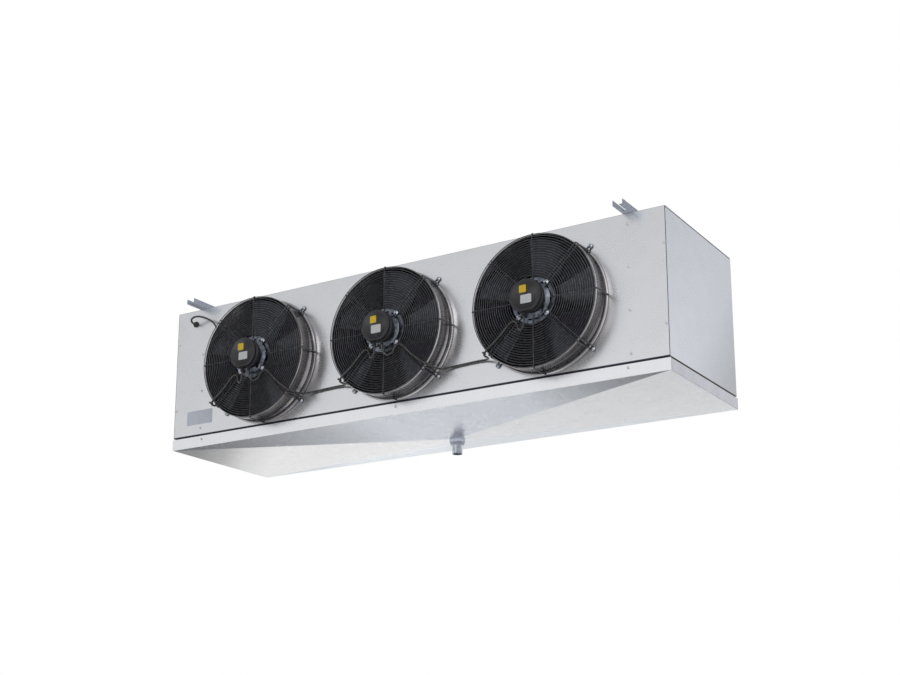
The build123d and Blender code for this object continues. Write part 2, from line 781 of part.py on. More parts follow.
# Collar of each fan: spun ring with a flange behind the panel and a rolled front edge
with BuildPart() as fan_collar:
    with BuildSketch(Plane.XZ):
        with BuildLine():
            back = -sheet - sheet
            bend = collar_bend + sheet
            Polyline(
                (collar_flange_radius, -sheet),
                (collar_flange_radius, back),
                (collar_radius + bend, back),
            )
            RadiusArc((collar_radius + bend, back), (collar_radius, back + bend), bend)
            Polyline(
                (collar_radius, back + bend),
                (collar_radius, collar_reach),
                (collar_radius + sheet + collar_lip, collar_reach),
                (collar_radius + sheet + collar_lip, collar_reach - 2 * sheet),
                (collar_radius + sheet, collar_reach - 2 * sheet),
                (collar_radius + sheet, back + bend),
            )
            RadiusArc(
                (collar_radius + bend, -sheet), (collar_radius + sheet, back + bend), collar_bend
            )
            Line((collar_radius + bend, -sheet), (collar_flange_radius, -sheet))
        make_face()
    revolve(axis=Axis.Z)
    fillet(fan_collar.edges().group_by(Axis.Z)[-1], sheet / 2)
    # ears on the flange for the guard's bolts
    with BuildSketch(Plane.XY.offset(-2 * sheet)):
        with PolarLocations(0, 4, start_angle=45):
            with Locations((eyelet_radius, 0)):
                Circle(collar_ear_radius)
            with Locations(((eyelet_radius + collar_flange_radius) / 2 - collar_ear_radius, 0)):
                Rectangle(2 * collar_ear_radius, 2 * collar_ear_radius)
        Circle(panel_hole_radius - seam, mode=Mode.SUBTRACT)
    extrude(amount=sheet)
    with BuildSketch(Plane.XY.offset(-2 * sheet)):
        with Locations(*foot_spots):
            Circle(guard_bolt / 2 + seat_gap)
    extrude(amount=sheet, mode=Mode.SUBTRACT)
save_at_fans(fan_collar.part, "fan_collar")

# Wire guard of each fan: concentric rings on four paired and four single struts
strut_z = guard_reach - (ring_wire + strut_wire) / 2 - wire_gap
ring_step = (outer_ring_radius - inner_ring_radius) / (ring_count - 1)
foot_z = strut_wire / 2 + fit_gap
foot_end = eyelet_radius + strut_half_gap
foot_bend = strut_half_gap - fit_gap

# paired strut: one wire that runs out, back along the collar, round the bolt and home again
with BuildPart() as paired_strut:
    with BuildLine() as hairpin:
        FilletPolyline(
            (strut_inner_radius, -strut_half_gap, strut_z),
            (guard_leg_radius, -strut_half_gap, strut_z),
            (guard_leg_radius, -strut_half_gap, foot_z),
            (foot_end, -strut_half_gap, foot_z),
            (foot_end, strut_half_gap, foot_z),
            (guard_leg_radius, strut_half_gap, foot_z),
            (guard_leg_radius, strut_half_gap, strut_z),
            (strut_inner_radius, strut_half_gap, strut_z),
            radius=[leg_bend, leg_bend, foot_bend, foot_bend, leg_bend, leg_bend],
        )
    with BuildSketch(Plane(origin=hairpin.line @ 0, z_dir=(1, 0, 0))):
        Circle(strut_wire / 2)
    sweep(path=hairpin.wire())

with BuildPart() as single_strut:
    with BuildLine() as leg:
        FilletPolyline(
            (strut_inner_radius, 0, strut_z),
            (guard_leg_radius, 0, strut_z),
            (guard_leg_radius, 0, seat_gap),
            radius=leg_bend,
        )
    with BuildSketch(Plane(origin=leg.line @ 0, z_dir=(1, 0, 0))):
        Circle(strut_wire / 2)
    sweep(path=leg.wire())

with BuildPart() as guard:
    for i in range(ring_count):
        with BuildSketch(Plane.XZ):
            with Locations((inner_ring_radius + i * ring_step, guard_reach)):
                Circle(ring_wire / 2)
        revolve(axis=Axis.Z)
    # base ring, between the collar and the legs
    base_ring_radius = guard_leg_radius - (strut_wire + ring_wire) / 2 - wire_gap
    with BuildSketch(Plane.XZ):
        with Locations((base_ring_radius, collar_bend + base_ring_rise)):
            Circle(ring_wire / 2)
    revolve(axis=Axis.Z)
    with PolarLocations(0, 4, start_angle=45):
        add(paired_strut.part)
    with PolarLocations(0, 4):
        add(single_strut.part)
save_at_fans(guard.part, "fan_guard")

# Bolts through the guard's eyelets, with washers, and their nuts behind the collar flange
washer_z = strut_wire + 2 * fit_gap
nut_face = -2 * sheet
with BuildPart() as guard_bolt_set:
    with BuildSketch(Plane.XY.offset(washer_z)):
        with Locations(*foot_spots):
            Circle(guard_bolt_head / 2 + washer_rim)
    extrude(amount=washer_thick)
    with BuildSketch(Plane.XY.offset(washer_z + washer_thick)):
        with Locations(*foot_spots):
            RegularPolygon(guard_bolt_head / 2, 6)
    extrude(amount=bolt_head_thick)
    with BuildSketch(Plane.XY.offset(nut_face - nut_thick - bolt_tip)):
        with Locations(*foot_spots):
            Circle(guard_bolt / 2)
    extrude(amount=washer_z - nut_face + nut_thick + bolt_tip)
with BuildPart() as guard_nut_set:
    with BuildSketch(Plane.XY.offset(nut_face - nut_thick)):
        with Locations(*foot_spots):
            RegularPolygon(guard_bolt_head / 2, 6)
            Circle(guard_bolt / 2 + shaft_play, mode=Mode.SUBTRACT)
    extrude(amount=nut_thick)
save_all_fans(guard_bolt_set.part, "guard_bolts")
save_all_fans(guard_nut_set.part, "guard_nuts")

# Motor flange: slotted disc against the guard's struts, with the tube that holds the bearings
flange_z = strut_z - strut_wire / 2 - wire_gap
flange_back = flange_z - motor_flange_thick
tube_back = rotor_back + rotor_wall + tube_clearance
motor_spots = [
    (motor_screw_radius * cos(radians(a)), motor_screw_radius * sin(radians(a))) for a in foot_angles
]
with BuildPart() as motor_flange:
    with BuildSketch(Plane.XY.offset(flange_back)):
        Circle(motor_flange_radius)
        with PolarLocations(slot_circle_radius, slot_count, start_angle=180 / slot_count):
            SlotOverall(slot_length, slot_width, rotation=90, mode=Mode.SUBTRACT)
        with Locations(*motor_spots):
            Circle(motor_screw / 2 + seat_gap, mode=Mode.SUBTRACT)
    extrude(amount=motor_flange_thick)
    with BuildSketch(Plane.XY.offset(tube_back)):
        Circle(stator_tube_radius)
    extrude(amount=flange_back - tube_back)
    with BuildSketch(Plane.XY.offset(tube_back)):
        Circle(bearing_radius)
    extrude(amount=flange_back - tube_back, mode=Mode.SUBTRACT)
    flange_rims = motor_flange.edges().filter_by(GeomType.CIRCLE).group_by(Axis.Z)[-1]
    fillet(flange_rims.sort_by(SortBy.RADIUS)[-1], edge_round)
save_at_fans(motor_flange.part, "motor_flange")

# Screws that clamp the motor to the paired struts
screw_seat = strut_z + strut_wire / 2 + wire_gap
with BuildPart() as motor_screw_set:
    with BuildSketch(Plane.XY.offset(screw_seat)):
        with Locations(*motor_spots):
            Circle(strut_half_gap + strut_wire / 2)
    extrude(amount=washer_thick)
    with BuildSketch(Plane.XY.offset(screw_seat + washer_thick)):
        with Locations(*motor_spots):
            RegularPolygon(motor_screw_head / 2, 6)
    extrude(amount=bolt_head_thick - seam)
    with BuildSketch(Plane.XY.offset(flange_back)):
        with Locations(*motor_spots):
            Circle(motor_screw / 2)
    extrude(amount=screw_seat - flange_back)
save_all_fans(motor_screw_set.part, "motor_screws")

# Bearings and wound stator core inside the motor
bearing_backs = (tube_back, flange_back - bearing_width - seam)
with BuildPart() as bearing_pair:
    for z in bearing_backs:
        with BuildSketch(Plane.XY.offset(z)):
            Circle(bearing_radius)
            Circle(shaft_radius + shaft_play, mode=Mode.SUBTRACT)
        extrude(amount=bearing_width)
save_all_fans(bearing_pair.part, "motor_bearings")

winding_radius = core_radius - winding_step
core_back = tube_back + core_end_gap - 2
core_front = flange_back - core_end_gap
core_length = core_front - core_back
with BuildPart() as stator_core:
    with BuildSketch(Plane.XY.offset(core_back)):
        Circle(core_radius)
    extrude(amount=core_length)
    with BuildSketch(Plane.XY.offset(core_back - winding_reach)):
        Circle(winding_radius)
    extrude(amount=core_length + 2 * winding_reach)
    winding_rims = stator_core.edges().group_by(Axis.Z)
    fillet(winding_rims[-1] + winding_rims[0], winding_round)
    with BuildSketch(Plane.XY.offset(core_back - winding_reach)):
        Circle(stator_tube_radius + fit_gap)
    extrude(amount=core_length + 2 * winding_reach, mode=Mode.SUBTRACT)
save_all_fans(stator_core.part, "stator_cores")

# Terminal box on the motor's front: neck and round box with a flat underside, and its lid
with BuildPart() as terminal_box:
    with BuildSketch(Plane.XY.offset(flange_z)):
        Circle(terminal_neck_radius)
    extrude(amount=terminal_back - flange_z)
    with BuildSketch(Plane.XY.offset(terminal_back)):
        Circle(terminal_radius)
        with Locations((0, -terminal_radius - terminal_flat)):
            Rectangle(2 * terminal_radius, 2 * terminal_radius, mode=Mode.SUBTRACT)
    extrude(amount=terminal_seam - terminal_back)
    box_rims = terminal_box.edges().filter_by(GeomType.CIRCLE).group_by(Axis.Z)
    fillet(box_rims[-2], terminal_round)
save_at_fans(terminal_box.part, "terminal_box")

with BuildPart() as terminal_lid:
    with BuildSketch(Plane.XY.offset(terminal_seam)):
        Circle(terminal_radius)
        with Locations((0, -terminal_radius - terminal_flat)):
            Rectangle(2 * terminal_radius, 2 * terminal_radius, mode=Mode.SUBTRACT)
    extrude(amount=terminal_front - lid_disc - terminal_seam)
    fillet(terminal_lid.edges().group_by(Axis.Z)[-1], lid_round)
    with BuildSketch(Plane.XY.offset(terminal_seam)):
        Circle(lid_disc_radius)
    extrude(amount=terminal_front - terminal_seam)
save_at_fans(terminal_lid.part, "terminal_lid")

# Rotor: a can over the stator, with the shaft pressed into it
with BuildPart() as rotor:
    with BuildSketch(Plane.XY.offset(rotor_back)):
        Circle(rotor_radius)
    extrude(amount=rotor_front - rotor_back)
    fillet(rotor.edges().group_by(Axis.Z)[0], edge_round)
    with BuildSketch(Plane.XY.offset(rotor_back + rotor_wall)):
        Circle(rotor_radius - rotor_wall)
    extrude(amount=rotor_front - rotor_back, mode=Mode.SUBTRACT)
    with BuildSketch(Plane.XY.offset(rotor_back)):
        Circle(2 * shaft_radius)
    extrude(amount=tube_back - rotor_back - shaft_end_gap)
    with BuildSketch(Plane.XY.offset(rotor_back)):
        Circle(shaft_radius + wire_gap)
    extrude(amount=tube_back - rotor_back, mode=Mode.SUBTRACT)
save_at_fans(rotor.part, "fan_rotor")

with BuildPart() as shaft:
    with BuildSketch(Plane.XY.offset(rotor_back)):
        Circle(shaft_radius)
    extrude(amount=flange_back - rotor_back - shaft_end_gap)
    chamfer(shaft.edges(), shaft_chamfer)
save_at_fans(shaft.part, "fan_shaft")


# One blade: arched sections from the hub to beyond the tip, trimmed to the fan's circle
def blade_section(radius, chord, pitch, lead):
    slope = radians(pitch)
    middle = (hub_front + hub_back) / 2
    half = chord / 2
    rise = blade_arch * chord
    plane = Plane(
        origin=(radius, lead, middle), x_dir=(0, cos(slope), sin(slope)), z_dir=(1, 0, 0)
    )
    with BuildSketch(plane) as section:
        with BuildLine():
            ThreePointArc((-half, 0), (0, rise + blade_thick), (half, 0))
            Line((half, 0), (half, -blade_thick / 2))
            ThreePointArc((half, -blade_thick / 2), (0, rise), (-half, -blade_thick / 2))
            Line((-half, -blade_thick / 2), (-half, 0))
        make_face()
    return section.sketch


hub_radius = rotor_radius + fit_gap + hub_wall
blade_root = blade_section(rotor_radius - 10, root_chord, root_pitch, 0)
blade_middle = blade_section(middle_radius, middle_chord, middle_pitch, middle_lead)
blade_end = blade_section(blade_tip_radius + 30, end_chord, end_pitch, end_lead)
with BuildPart() as blade:
    loft([blade_root, blade_middle, blade_end])
    with BuildSketch(Plane.XY.offset(0)):
        Circle(blade_tip_radius)
        Circle(rotor_radius + fit_gap + hub_wall / 2, mode=Mode.SUBTRACT)
    extrude(amount=guard_reach, mode=Mode.INTERSECT)

with BuildPart() as impeller:
    with BuildSketch(Plane.XY.offset(hub_back)):
        Circle(hub_radius)
    extrude(amount=hub_front - hub_back)
    with BuildSketch(Plane.XY.offset(rotor_back)):
        Circle(rotor_radius + fit_gap)
    extrude(amount=hub_front - rotor_back, mode=Mode.SUBTRACT)
    with BuildSketch(Plane.XY.offset(hub_back)):
        Circle(rotor_radius - hub_rim)
    extrude(amount=rotor_back - hub_back, mode=Mode.SUBTRACT)
    with PolarLocations(0, blade_count):
        add(blade.part)
save_at_fans(impeller.part, "impeller")

# Cable glands under the terminal boxes: two each, one on the last fan
gland_z = (terminal_back + terminal_seam) / 2 + seam
gland_sides = [(-1, 1)] * (fan_count - 1) + [(-1,)]
with BuildPart() as cable_glands:
    for centre_x, sides in zip(fan_centres, gland_sides):
        for side in sides:
            gland_top = Plane(
                origin=(centre_x + side * gland_offset, front_y - gland_z, fan_z - terminal_flat),
                z_dir=(0, 0, -1),
            )
            with BuildSketch(gland_top):
                RegularPolygon(gland_radius, 6)
            extrude(amount=gland_length / 2)
            with BuildSketch(gland_top.offset(gland_length / 2)):
                Circle(gland_radius - seam)
            extrude(amount=gland_length / 2)
cable_glands.part.label = "cable_glands"
export_step(cable_glands.part, "parts/cable_glands.step")

# Gland of the supply cable, through the front panel
with BuildPart() as supply_gland:
    gland_plane = facing(front_y, supply_gland_x, -supply_gland_drop)
    with BuildSketch(gland_plane):
        RegularPolygon(supply_gland_radius, 6)
    extrude(amount=supply_gland_reach / 2)
    with BuildSketch(gland_plane.offset(supply_gland_reach / 2)):
        Circle(supply_gland_radius - sheet)
    with BuildSketch(gland_plane.offset(supply_gland_reach)):
        Circle(gland_radius)
    loft()
    with BuildSketch(gland_plane.offset(-sheet - supply_gland_tail)):
        Circle(cable_diameter - fit_gap)
    extrude(amount=sheet + supply_gland_tail)
supply_gland.part.label = "supply_gland"
export_step(supply_gland.part, "parts/supply_gland.step")

# Cables. Points are given at a fan: across and up from its axis, and ahead of the front panel.
def beside(gap, angle, ahead):
    # a point a gap outside the guard, at an angle round the fan
    reach = guard_leg_radius + gap
    return (reach * cos(radians(angle)), reach * sin(radians(angle)), ahead)


# The left-hand lead of a fan, from its gland down a small loop and out along the strut
gland_end = -terminal_flat - gland_length
fan_lead = [
    (-gland_offset, gland_end, gland_z),
    (-gland_offset, gland_end - 23, gland_z),
    (-30, -114, 114),
    (-50, -107, 105),
    (-57, -82, 99),
    (-74, -67, 97.5),
    (-98, -82, 97.5),
    (-136, -124, 98),
    beside(15.2, 220.2, 100),
]


def at_fan(points, number, side=-1):
    # the same points at one of the fans, on its left (-1) or mirrored to its right (1)
    return [(fan_centres[number] - side * x, front_y - z, fan_z + y) for x, y, z in points]


def off_panel(points):
    # points on the front panel: across from the middle, down from the top, ahead of the panel
    return [(x, front_y - ahead, -down) for x, down, ahead in points]


def cable(points):
    with BuildPart() as lead:
        with BuildLine() as route:
            FilletPolyline(*points, radius=bend_radii(points))
        start = Plane(origin=points[0], z_dir=Vector(*points[1]) - Vector(*points[0]))
        with BuildSketch(start):
            Circle(cable_diameter / 2)
        sweep(path=route.wire())
    print("cable", round(route.wire().length), "mm, radii", [round(r) for r in bend_radii(points)])
    return lead.part


past_fan = [
    beside(20.4, 150.8, 13),
    beside(13.5, 180, 11),
    beside(16.7, 208.6, 13),
    beside(14.6, 218.4, 36),
]
supply_route = (
    off_panel(
        [
            (supply_gland_x, supply_gland_drop, supply_gland_reach),
            (supply_gland_x, supply_gland_drop, 30),
            (supply_gland_x + 8, 48, 42),
            (supply_gland_x + 36, 40, 38),
            (supply_gland_x + 80, 54, 28),
            (supply_gland_x + 126, 86, 20),
        ]
    )
    + at_fan(past_fan, 0)
    + at_fan(reversed(fan_lead), 0)
)
supply_cable = cable(supply_route)
supply_cable.label = "supply_cable"
export_step(supply_cable, "parts/supply_cable.step")

leave_fan = [beside(21.2, 219.4, 30), beside(39, 215.2, 11), (-0.48 * fan_pitch, -165, 8)]
reach_fan = [(-0.42 * fan_pitch, -163, 9), beside(33.5, 215, 12), beside(15.8, 218.7, 34)]
for number in range(fan_count - 1):
    link_route = at_fan(fan_lead + leave_fan, number, 1)
    link_route += at_fan(reach_fan + fan_lead[::-1], number + 1)
    link_cable = cable(link_route)
    link_cable.label = f"link_cable_{number + 1}"
    export_step(link_cable, f"parts/link_cable_{number + 1}.step")


# Screws with a domed head, out of the front of the unit
def panel_screws(places, face_y, shank_length):
    with BuildPart() as screws:
        with BuildSketch(facing(face_y)):
            with Locations(*places):
                Circle(screw_head / 2)
        extrude(amount=screw_head_thick)
        fillet(screws.edges().group_by(Axis.Y)[0], screw_head_thick - seam)
        with BuildSketch(facing(face_y + shank_length)):
            with Locations(*places):
                Circle(screw_shank / 2)
        extrude(amount=shank_length)
    return screws.part


panel_bolts = panel_screws(panel_bolt_places, front_y, panel_bolt_length)
panel_bolts.label = "panel_bolts"
export_step(panel_bolts, "parts/panel_bolts.step")
end_screws = panel_screws(end_screw_places, front_y, end_screw_length)
end_screws.label = "end_screws"
export_step(end_screws, "parts/end_screws.step")
tray_screw_places = [(x, -tray_screw_drop) for x in tray_screw_xs]
tray_screws = panel_screws(tray_screw_places, -tray_half_y, tray_screw_length)
tray_screws.label = "tray_screws"
export_step(tray_screws, "parts/tray_screws.step")

# Bolts that hold the rails down to the coil's end plates
with BuildPart() as rail_bolts:
    with BuildSketch(Plane.XY.offset(rail_sheet)):
        with Locations(*rail_bolt_places):
            RegularPolygon(rail_bolt_head / 2, 6, major_radius=False)
    extrude(amount=rail_bolt_head_thick)
    with BuildSketch(Plane.XY.offset(-2 * sheet - rail_bolt_tip)):
        with Locations(*rail_bolt_places):
            Circle(rail_bolt / 2)
    extrude(amount=rail_sheet + 2 * sheet + rail_bolt_tip)
rail_bolts.part.label = "rail_bolts"
export_step(rail_bolts.part, "parts/rail_bolts.step")
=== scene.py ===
import json
import math

import bmesh
import bpy
from mathutils import Matrix, Vector


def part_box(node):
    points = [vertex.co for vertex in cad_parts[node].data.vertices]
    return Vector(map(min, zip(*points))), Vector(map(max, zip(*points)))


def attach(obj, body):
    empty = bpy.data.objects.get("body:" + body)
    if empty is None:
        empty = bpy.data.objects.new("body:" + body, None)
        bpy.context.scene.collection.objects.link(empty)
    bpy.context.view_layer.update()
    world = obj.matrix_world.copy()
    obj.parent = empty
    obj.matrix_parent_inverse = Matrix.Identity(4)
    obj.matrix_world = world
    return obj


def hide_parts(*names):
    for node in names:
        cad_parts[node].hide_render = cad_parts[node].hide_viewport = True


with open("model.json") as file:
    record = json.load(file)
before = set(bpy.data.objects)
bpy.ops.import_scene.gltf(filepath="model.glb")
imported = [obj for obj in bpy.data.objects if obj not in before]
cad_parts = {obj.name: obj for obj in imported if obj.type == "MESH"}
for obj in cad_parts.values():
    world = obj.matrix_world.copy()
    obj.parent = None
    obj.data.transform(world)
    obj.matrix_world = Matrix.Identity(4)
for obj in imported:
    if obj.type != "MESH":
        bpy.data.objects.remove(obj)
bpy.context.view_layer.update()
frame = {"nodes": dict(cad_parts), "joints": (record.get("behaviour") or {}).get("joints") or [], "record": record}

scene = bpy.context.scene
nodes = frame["nodes"]
bodies = frame["record"]["behaviour"]["bodies"]
bodyOf = {name: body for body, group in bodies.items() for name in group}
slotOf = {part["node"]: part["material_slot"] for part in frame["record"]["subparts"]}
fanCentres = [Vector(joint["pos_m"]) for joint in frame["joints"] if joint.get("continuous")]
casingLow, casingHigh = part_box("top_panel")
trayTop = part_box("tray_pan")[1].z
print("frame loaded,", len(nodes), "nodes")


# Camera, room and light

cameraLook = {
    "place": (3.0024, -4.7276, -2.0099),  # below the unit and to its right, in metres
    "yaw": 0.5583,  # turned from +Y towards -X
    "pitch": 0.237,
    "focalPixels": 1456.5,
    "imageWidth": 900,
    "sensor": 36.0,
    "shift": 0.12,
}

roomLook = {
    "floorHeight": -2.75,
    "floorHalf": 9.0,
    "floorColour": (0.80, 0.80, 0.81),
    "floorRough": 0.8,
    "skyLight": 0.42,
    "skyColour": (0.97, 0.985, 1.0),
    "mirrorLow": (1.04, 1.05, 1.06),  # what metal shows of the room up to the horizon
    "mirrorHigh": (0.61, 0.62, 0.64),  # and well above it
    "mirrorRise": (0.16, 0.40),  # the directions' heights between these two
    "leftDim": 0.76,  # how much of that light is left towards -X
    "leftFrom": (-0.70, -0.50),  # over these directions
    "fadeFrom": 5.5,  # metres from the middle of the floor
}

lampLook = {  # metres and watts
    "key": {"place": (3.2, -2.4, 1.9), "aim": (0.2, -0.2, -0.4), "size": 3.0, "power": 34},
    "left": {"place": (-4.6, -0.8, 3.0), "aim": (-0.4, 0.0, -0.3), "size": 2.4, "power": 26},
    "under": {"place": (-0.6, -3.2, -2.3), "aim": (-0.2, 0.0, -0.4), "size": 1.2, "power": 5},
    "back": {"place": (-2.4, 3.6, 2.2), "aim": (0.0, 0.2, -0.3), "size": 2.6, "power": 22},
    "pool": {"place": (-2.3, 3.2, -0.7), "aim": (-2.3, 3.1, -2.75), "size": 0.9, "power": 20},
}


def addNode(tree, kind, links=None, values=None, **settings):
    made = tree.nodes.new(kind)
    for key, value in settings.items():
        setattr(made, key, value)
    for socket, value in (values or {}).items():
        made.inputs[socket].default_value = value
    for socket, source in (links or {}).items():
        tree.links.new(source, made.inputs[socket])
    return made


def coords(tree, kind):
    return addNode(tree, "ShaderNodeTexCoord").outputs[kind]


def placeCamera():
    look = cameraLook
    ahead = Vector((
        -math.sin(look["yaw"]) * math.cos(look["pitch"]),
        math.cos(look["yaw"]) * math.cos(look["pitch"]),
        math.sin(look["pitch"]),
    ))
    right = Vector((math.cos(look["yaw"]), math.sin(look["yaw"]), 0))
    up = right.cross(ahead)
    data = bpy.data.cameras.new("photoCamera")
    data.sensor_width = look["sensor"]
    data.lens = look["focalPixels"] / look["imageWidth"] * look["sensor"]
    data.shift_y = look["shift"]
    data.dof.use_dof = False
    camera = bpy.data.objects.new("photoCamera", data)
    turn = Matrix((right, up, -ahead)).transposed().to_4x4()
    camera.matrix_world = Matrix.Translation(look["place"]) @ turn
    scene.collection.objects.link(camera)
    scene.camera = camera


def buildWorld():
    look = roomLook
    world = bpy.data.worlds.new("studio")
    scene.world = world
    world.use_nodes = True
    tree = world.node_tree
    tree.nodes.clear()
    ray = addNode(tree, "ShaderNodeLightPath")
    split = addNode(tree, "ShaderNodeSeparateXYZ", {"Vector": coords(tree, "Generated")})
    rise = addNode(tree, "ShaderNodeMapRange", {"Value": split.outputs["Z"]},
                   {"From Min": look["mirrorRise"][0], "From Max": look["mirrorRise"][1]})
    mirror = addNode(tree, "ShaderNodeMix", {"Factor": rise.outputs["Result"]},
                     {6: (*look["mirrorLow"], 1), 7: (*look["mirrorHigh"], 1)}, data_type="RGBA")
    leftward = addNode(tree, "ShaderNodeMapRange", {"Value": split.outputs["X"]},
                       {"From Min": look["leftFrom"][0], "From Max": look["leftFrom"][1],
                        "To Min": look["leftDim"], "To Max": 1.0})
    shownMirror = addNode(tree, "ShaderNodeBackground",
                          {"Color": mirror.outputs[2], "Strength": leftward.outputs["Result"]})
    white = addNode(tree, "ShaderNodeBackground", None, {"Color": (1, 1, 1, 1), "Strength": 1.0})
    light = addNode(tree, "ShaderNodeBackground", None,
                    {"Color": (*look["skyColour"], 1), "Strength": look["skyLight"]})
    seenInGlass = addNode(tree, "ShaderNodeMath", {0: ray.outputs["Is Camera Ray"],
                                                  1: ray.outputs["Is Transmission Ray"]},
                          operation="MAXIMUM")
    first = addNode(tree, "ShaderNodeMixShader", {0: ray.outputs["Is Glossy Ray"], 1: light.outputs[0],
                                                 2: shownMirror.outputs[0]})
    second = addNode(tree, "ShaderNodeMixShader", {0: seenInGlass.outputs[0], 1: first.outputs[0],
                                                  2: white.outputs[0]})
    addNode(tree, "ShaderNodeOutputWorld", {"Surface": second.outputs[0]})


def buildFloor():
    look = roomLook
    half = look["floorHalf"]
    mesh = bpy.data.meshes.new("floor")
    corners = [(-half, -half), (half, -half), (half, half), (-half, half)]
    mesh.from_pydata([(x, y, look["floorHeight"]) for x, y in corners], [], [(0, 1, 2, 3)])
    floor = bpy.data.objects.new("floor", mesh)
    scene.collection.objects.link(floor)
    material = bpy.data.materials.new("paleFloor")
    material.use_nodes = True
    tree = material.node_tree
    bsdf = tree.nodes["Principled BSDF"]
    bsdf.inputs["Base Color"].default_value = (*look["floorColour"], 1)
    bsdf.inputs["Roughness"].default_value = look["floorRough"]
    # the floor fades into the white room far from the unit
    far = addNode(tree, "ShaderNodeVectorMath", {0: coords(tree, "Object")}, operation="LENGTH")
    fade = addNode(tree, "ShaderNodeMapRange", {"Value": far.outputs["Value"]},
                   {"From Min": look["fadeFrom"], "From Max": half})
    white = addNode(tree, "ShaderNodeEmission", None, {"Color": (1, 1, 1, 1), "Strength": 1.0})
    mixed = addNode(tree, "ShaderNodeMixShader", {0: fade.outputs["Result"], 1: bsdf.outputs[0],
                                                 2: white.outputs[0]})
    tree.links.new(mixed.outputs[0], tree.nodes["Material Output"].inputs["Surface"])
    mesh.materials.append(material)


def placeLamps():
    for name, look in lampLook.items():
        data = bpy.data.lights.new(name, "AREA")
        data.shape = "DISK"
        data.size = look["size"]
        data.energy = look["power"]
        lamp = bpy.data.objects.new(name, data)
        lamp.location = look["place"]
        aim = Vector(look["aim"]) - Vector(look["place"])
        lamp.rotation_euler = aim.to_track_quat("-Z", "Y").to_euler()
        lamp.visible_camera = False
        scene.collection.objects.link(lamp)


scene.view_settings.view_transform = "Standard"
placeCamera()
buildWorld()
buildFloor()
placeLamps()
print("camera, room and lamps placed")


# Finishes

def newMaterial(name, metallic):
    material = bpy.data.materials.new(name)
    material.use_nodes = True
    tree = material.node_tree
    bsdf = tree.nodes["Principled BSDF"]
    bsdf.inputs["Metallic"].default_value = metallic
    return material, tree, bsdf, coords(tree, "Object")


def noise(tree, place, scale, detail, stretch=(1, 1, 1), crispness=0.55):
    mapped = addNode(tree, "ShaderNodeMapping", {"Vector": place}, {"Scale": stretch})
    made = addNode(tree, "ShaderNodeTexNoise", {"Vector": mapped.outputs[0]},
                   {"Scale": scale, "Detail": detail, "Roughness": crispness})
    return made.outputs["Fac"]


def between(tree, factor, low, high, start=0.3, end=0.7):
    made = addNode(tree, "ShaderNodeMapRange", {"Value": factor},
                   {"From Min": start, "From Max": end, "To Min": low, "To Max": high})
    return made.outputs["Result"]


def blendColours(tree, factor, first, second):
    made = addNode(tree, "ShaderNodeMix", {"Factor": factor}, {6: (*first, 1), 7: (*second, 1)},
                   data_type="RGBA")
    return made.outputs[2]


def painted(tree, colour, factor, paint):
    made = addNode(tree, "ShaderNodeMix", {"Factor": factor, 6: colour}, {7: (*paint, 1)},
                   data_type="RGBA")
    return made.outputs[2]


def paintFacetShade(tree, colour, place, facet):
    # painted reflection and shade: a sheet's faces that lean one way get their colour multiplied darker towards
    # one end, in place of the part of the room they reflect
    lean = addNode(tree, "ShaderNodeVectorMath", {0: coords(tree, "Normal")},
                   {1: facet["faces"]}, operation="DOT_PRODUCT")
    above = addNode(tree, "ShaderNodeMath", {0: lean.outputs["Value"]}, {1: facet["lean"][0]},
                    operation="GREATER_THAN")
    below = addNode(tree, "ShaderNodeMath", {0: lean.outputs["Value"]}, {1: facet["lean"][1]},
                    operation="LESS_THAN")
    both = addNode(tree, "ShaderNodeMath", {0: above.outputs[0], 1: below.outputs[0]},
                   operation="MULTIPLY")
    spot = addNode(tree, "ShaderNodeVectorMath", {0: place}, {1: facet["toward"]},
                   operation="DOT_PRODUCT")
    ramp = addNode(tree, "ShaderNodeValToRGB",
                   {"Fac": between(tree, spot.outputs["Value"], 0, 1, *facet["span"])})
    stops = ramp.color_ramp.elements
    for position, shade in facet["shades"]:
        stop = stops[0] if position == 0 else stops[-1] if position == 1 else stops.new(position)
        stop.color = (*(shade * tint for tint in facet["tint"]), 1)
    shaded = addNode(tree, "ShaderNodeMix", {"Factor": both.outputs[0], 6: colour, 7: ramp.outputs[0]},
                     data_type="RGBA", blend_type="MULTIPLY")
    return shaded.outputs[2]


def relief(tree, bsdf, height, strength, distance):
    bump = addNode(tree, "ShaderNodeBump", {"Height": height},
                   {"Strength": strength, "Distance": distance})
    tree.links.new(bump.outputs["Normal"], bsdf.inputs["Normal"])


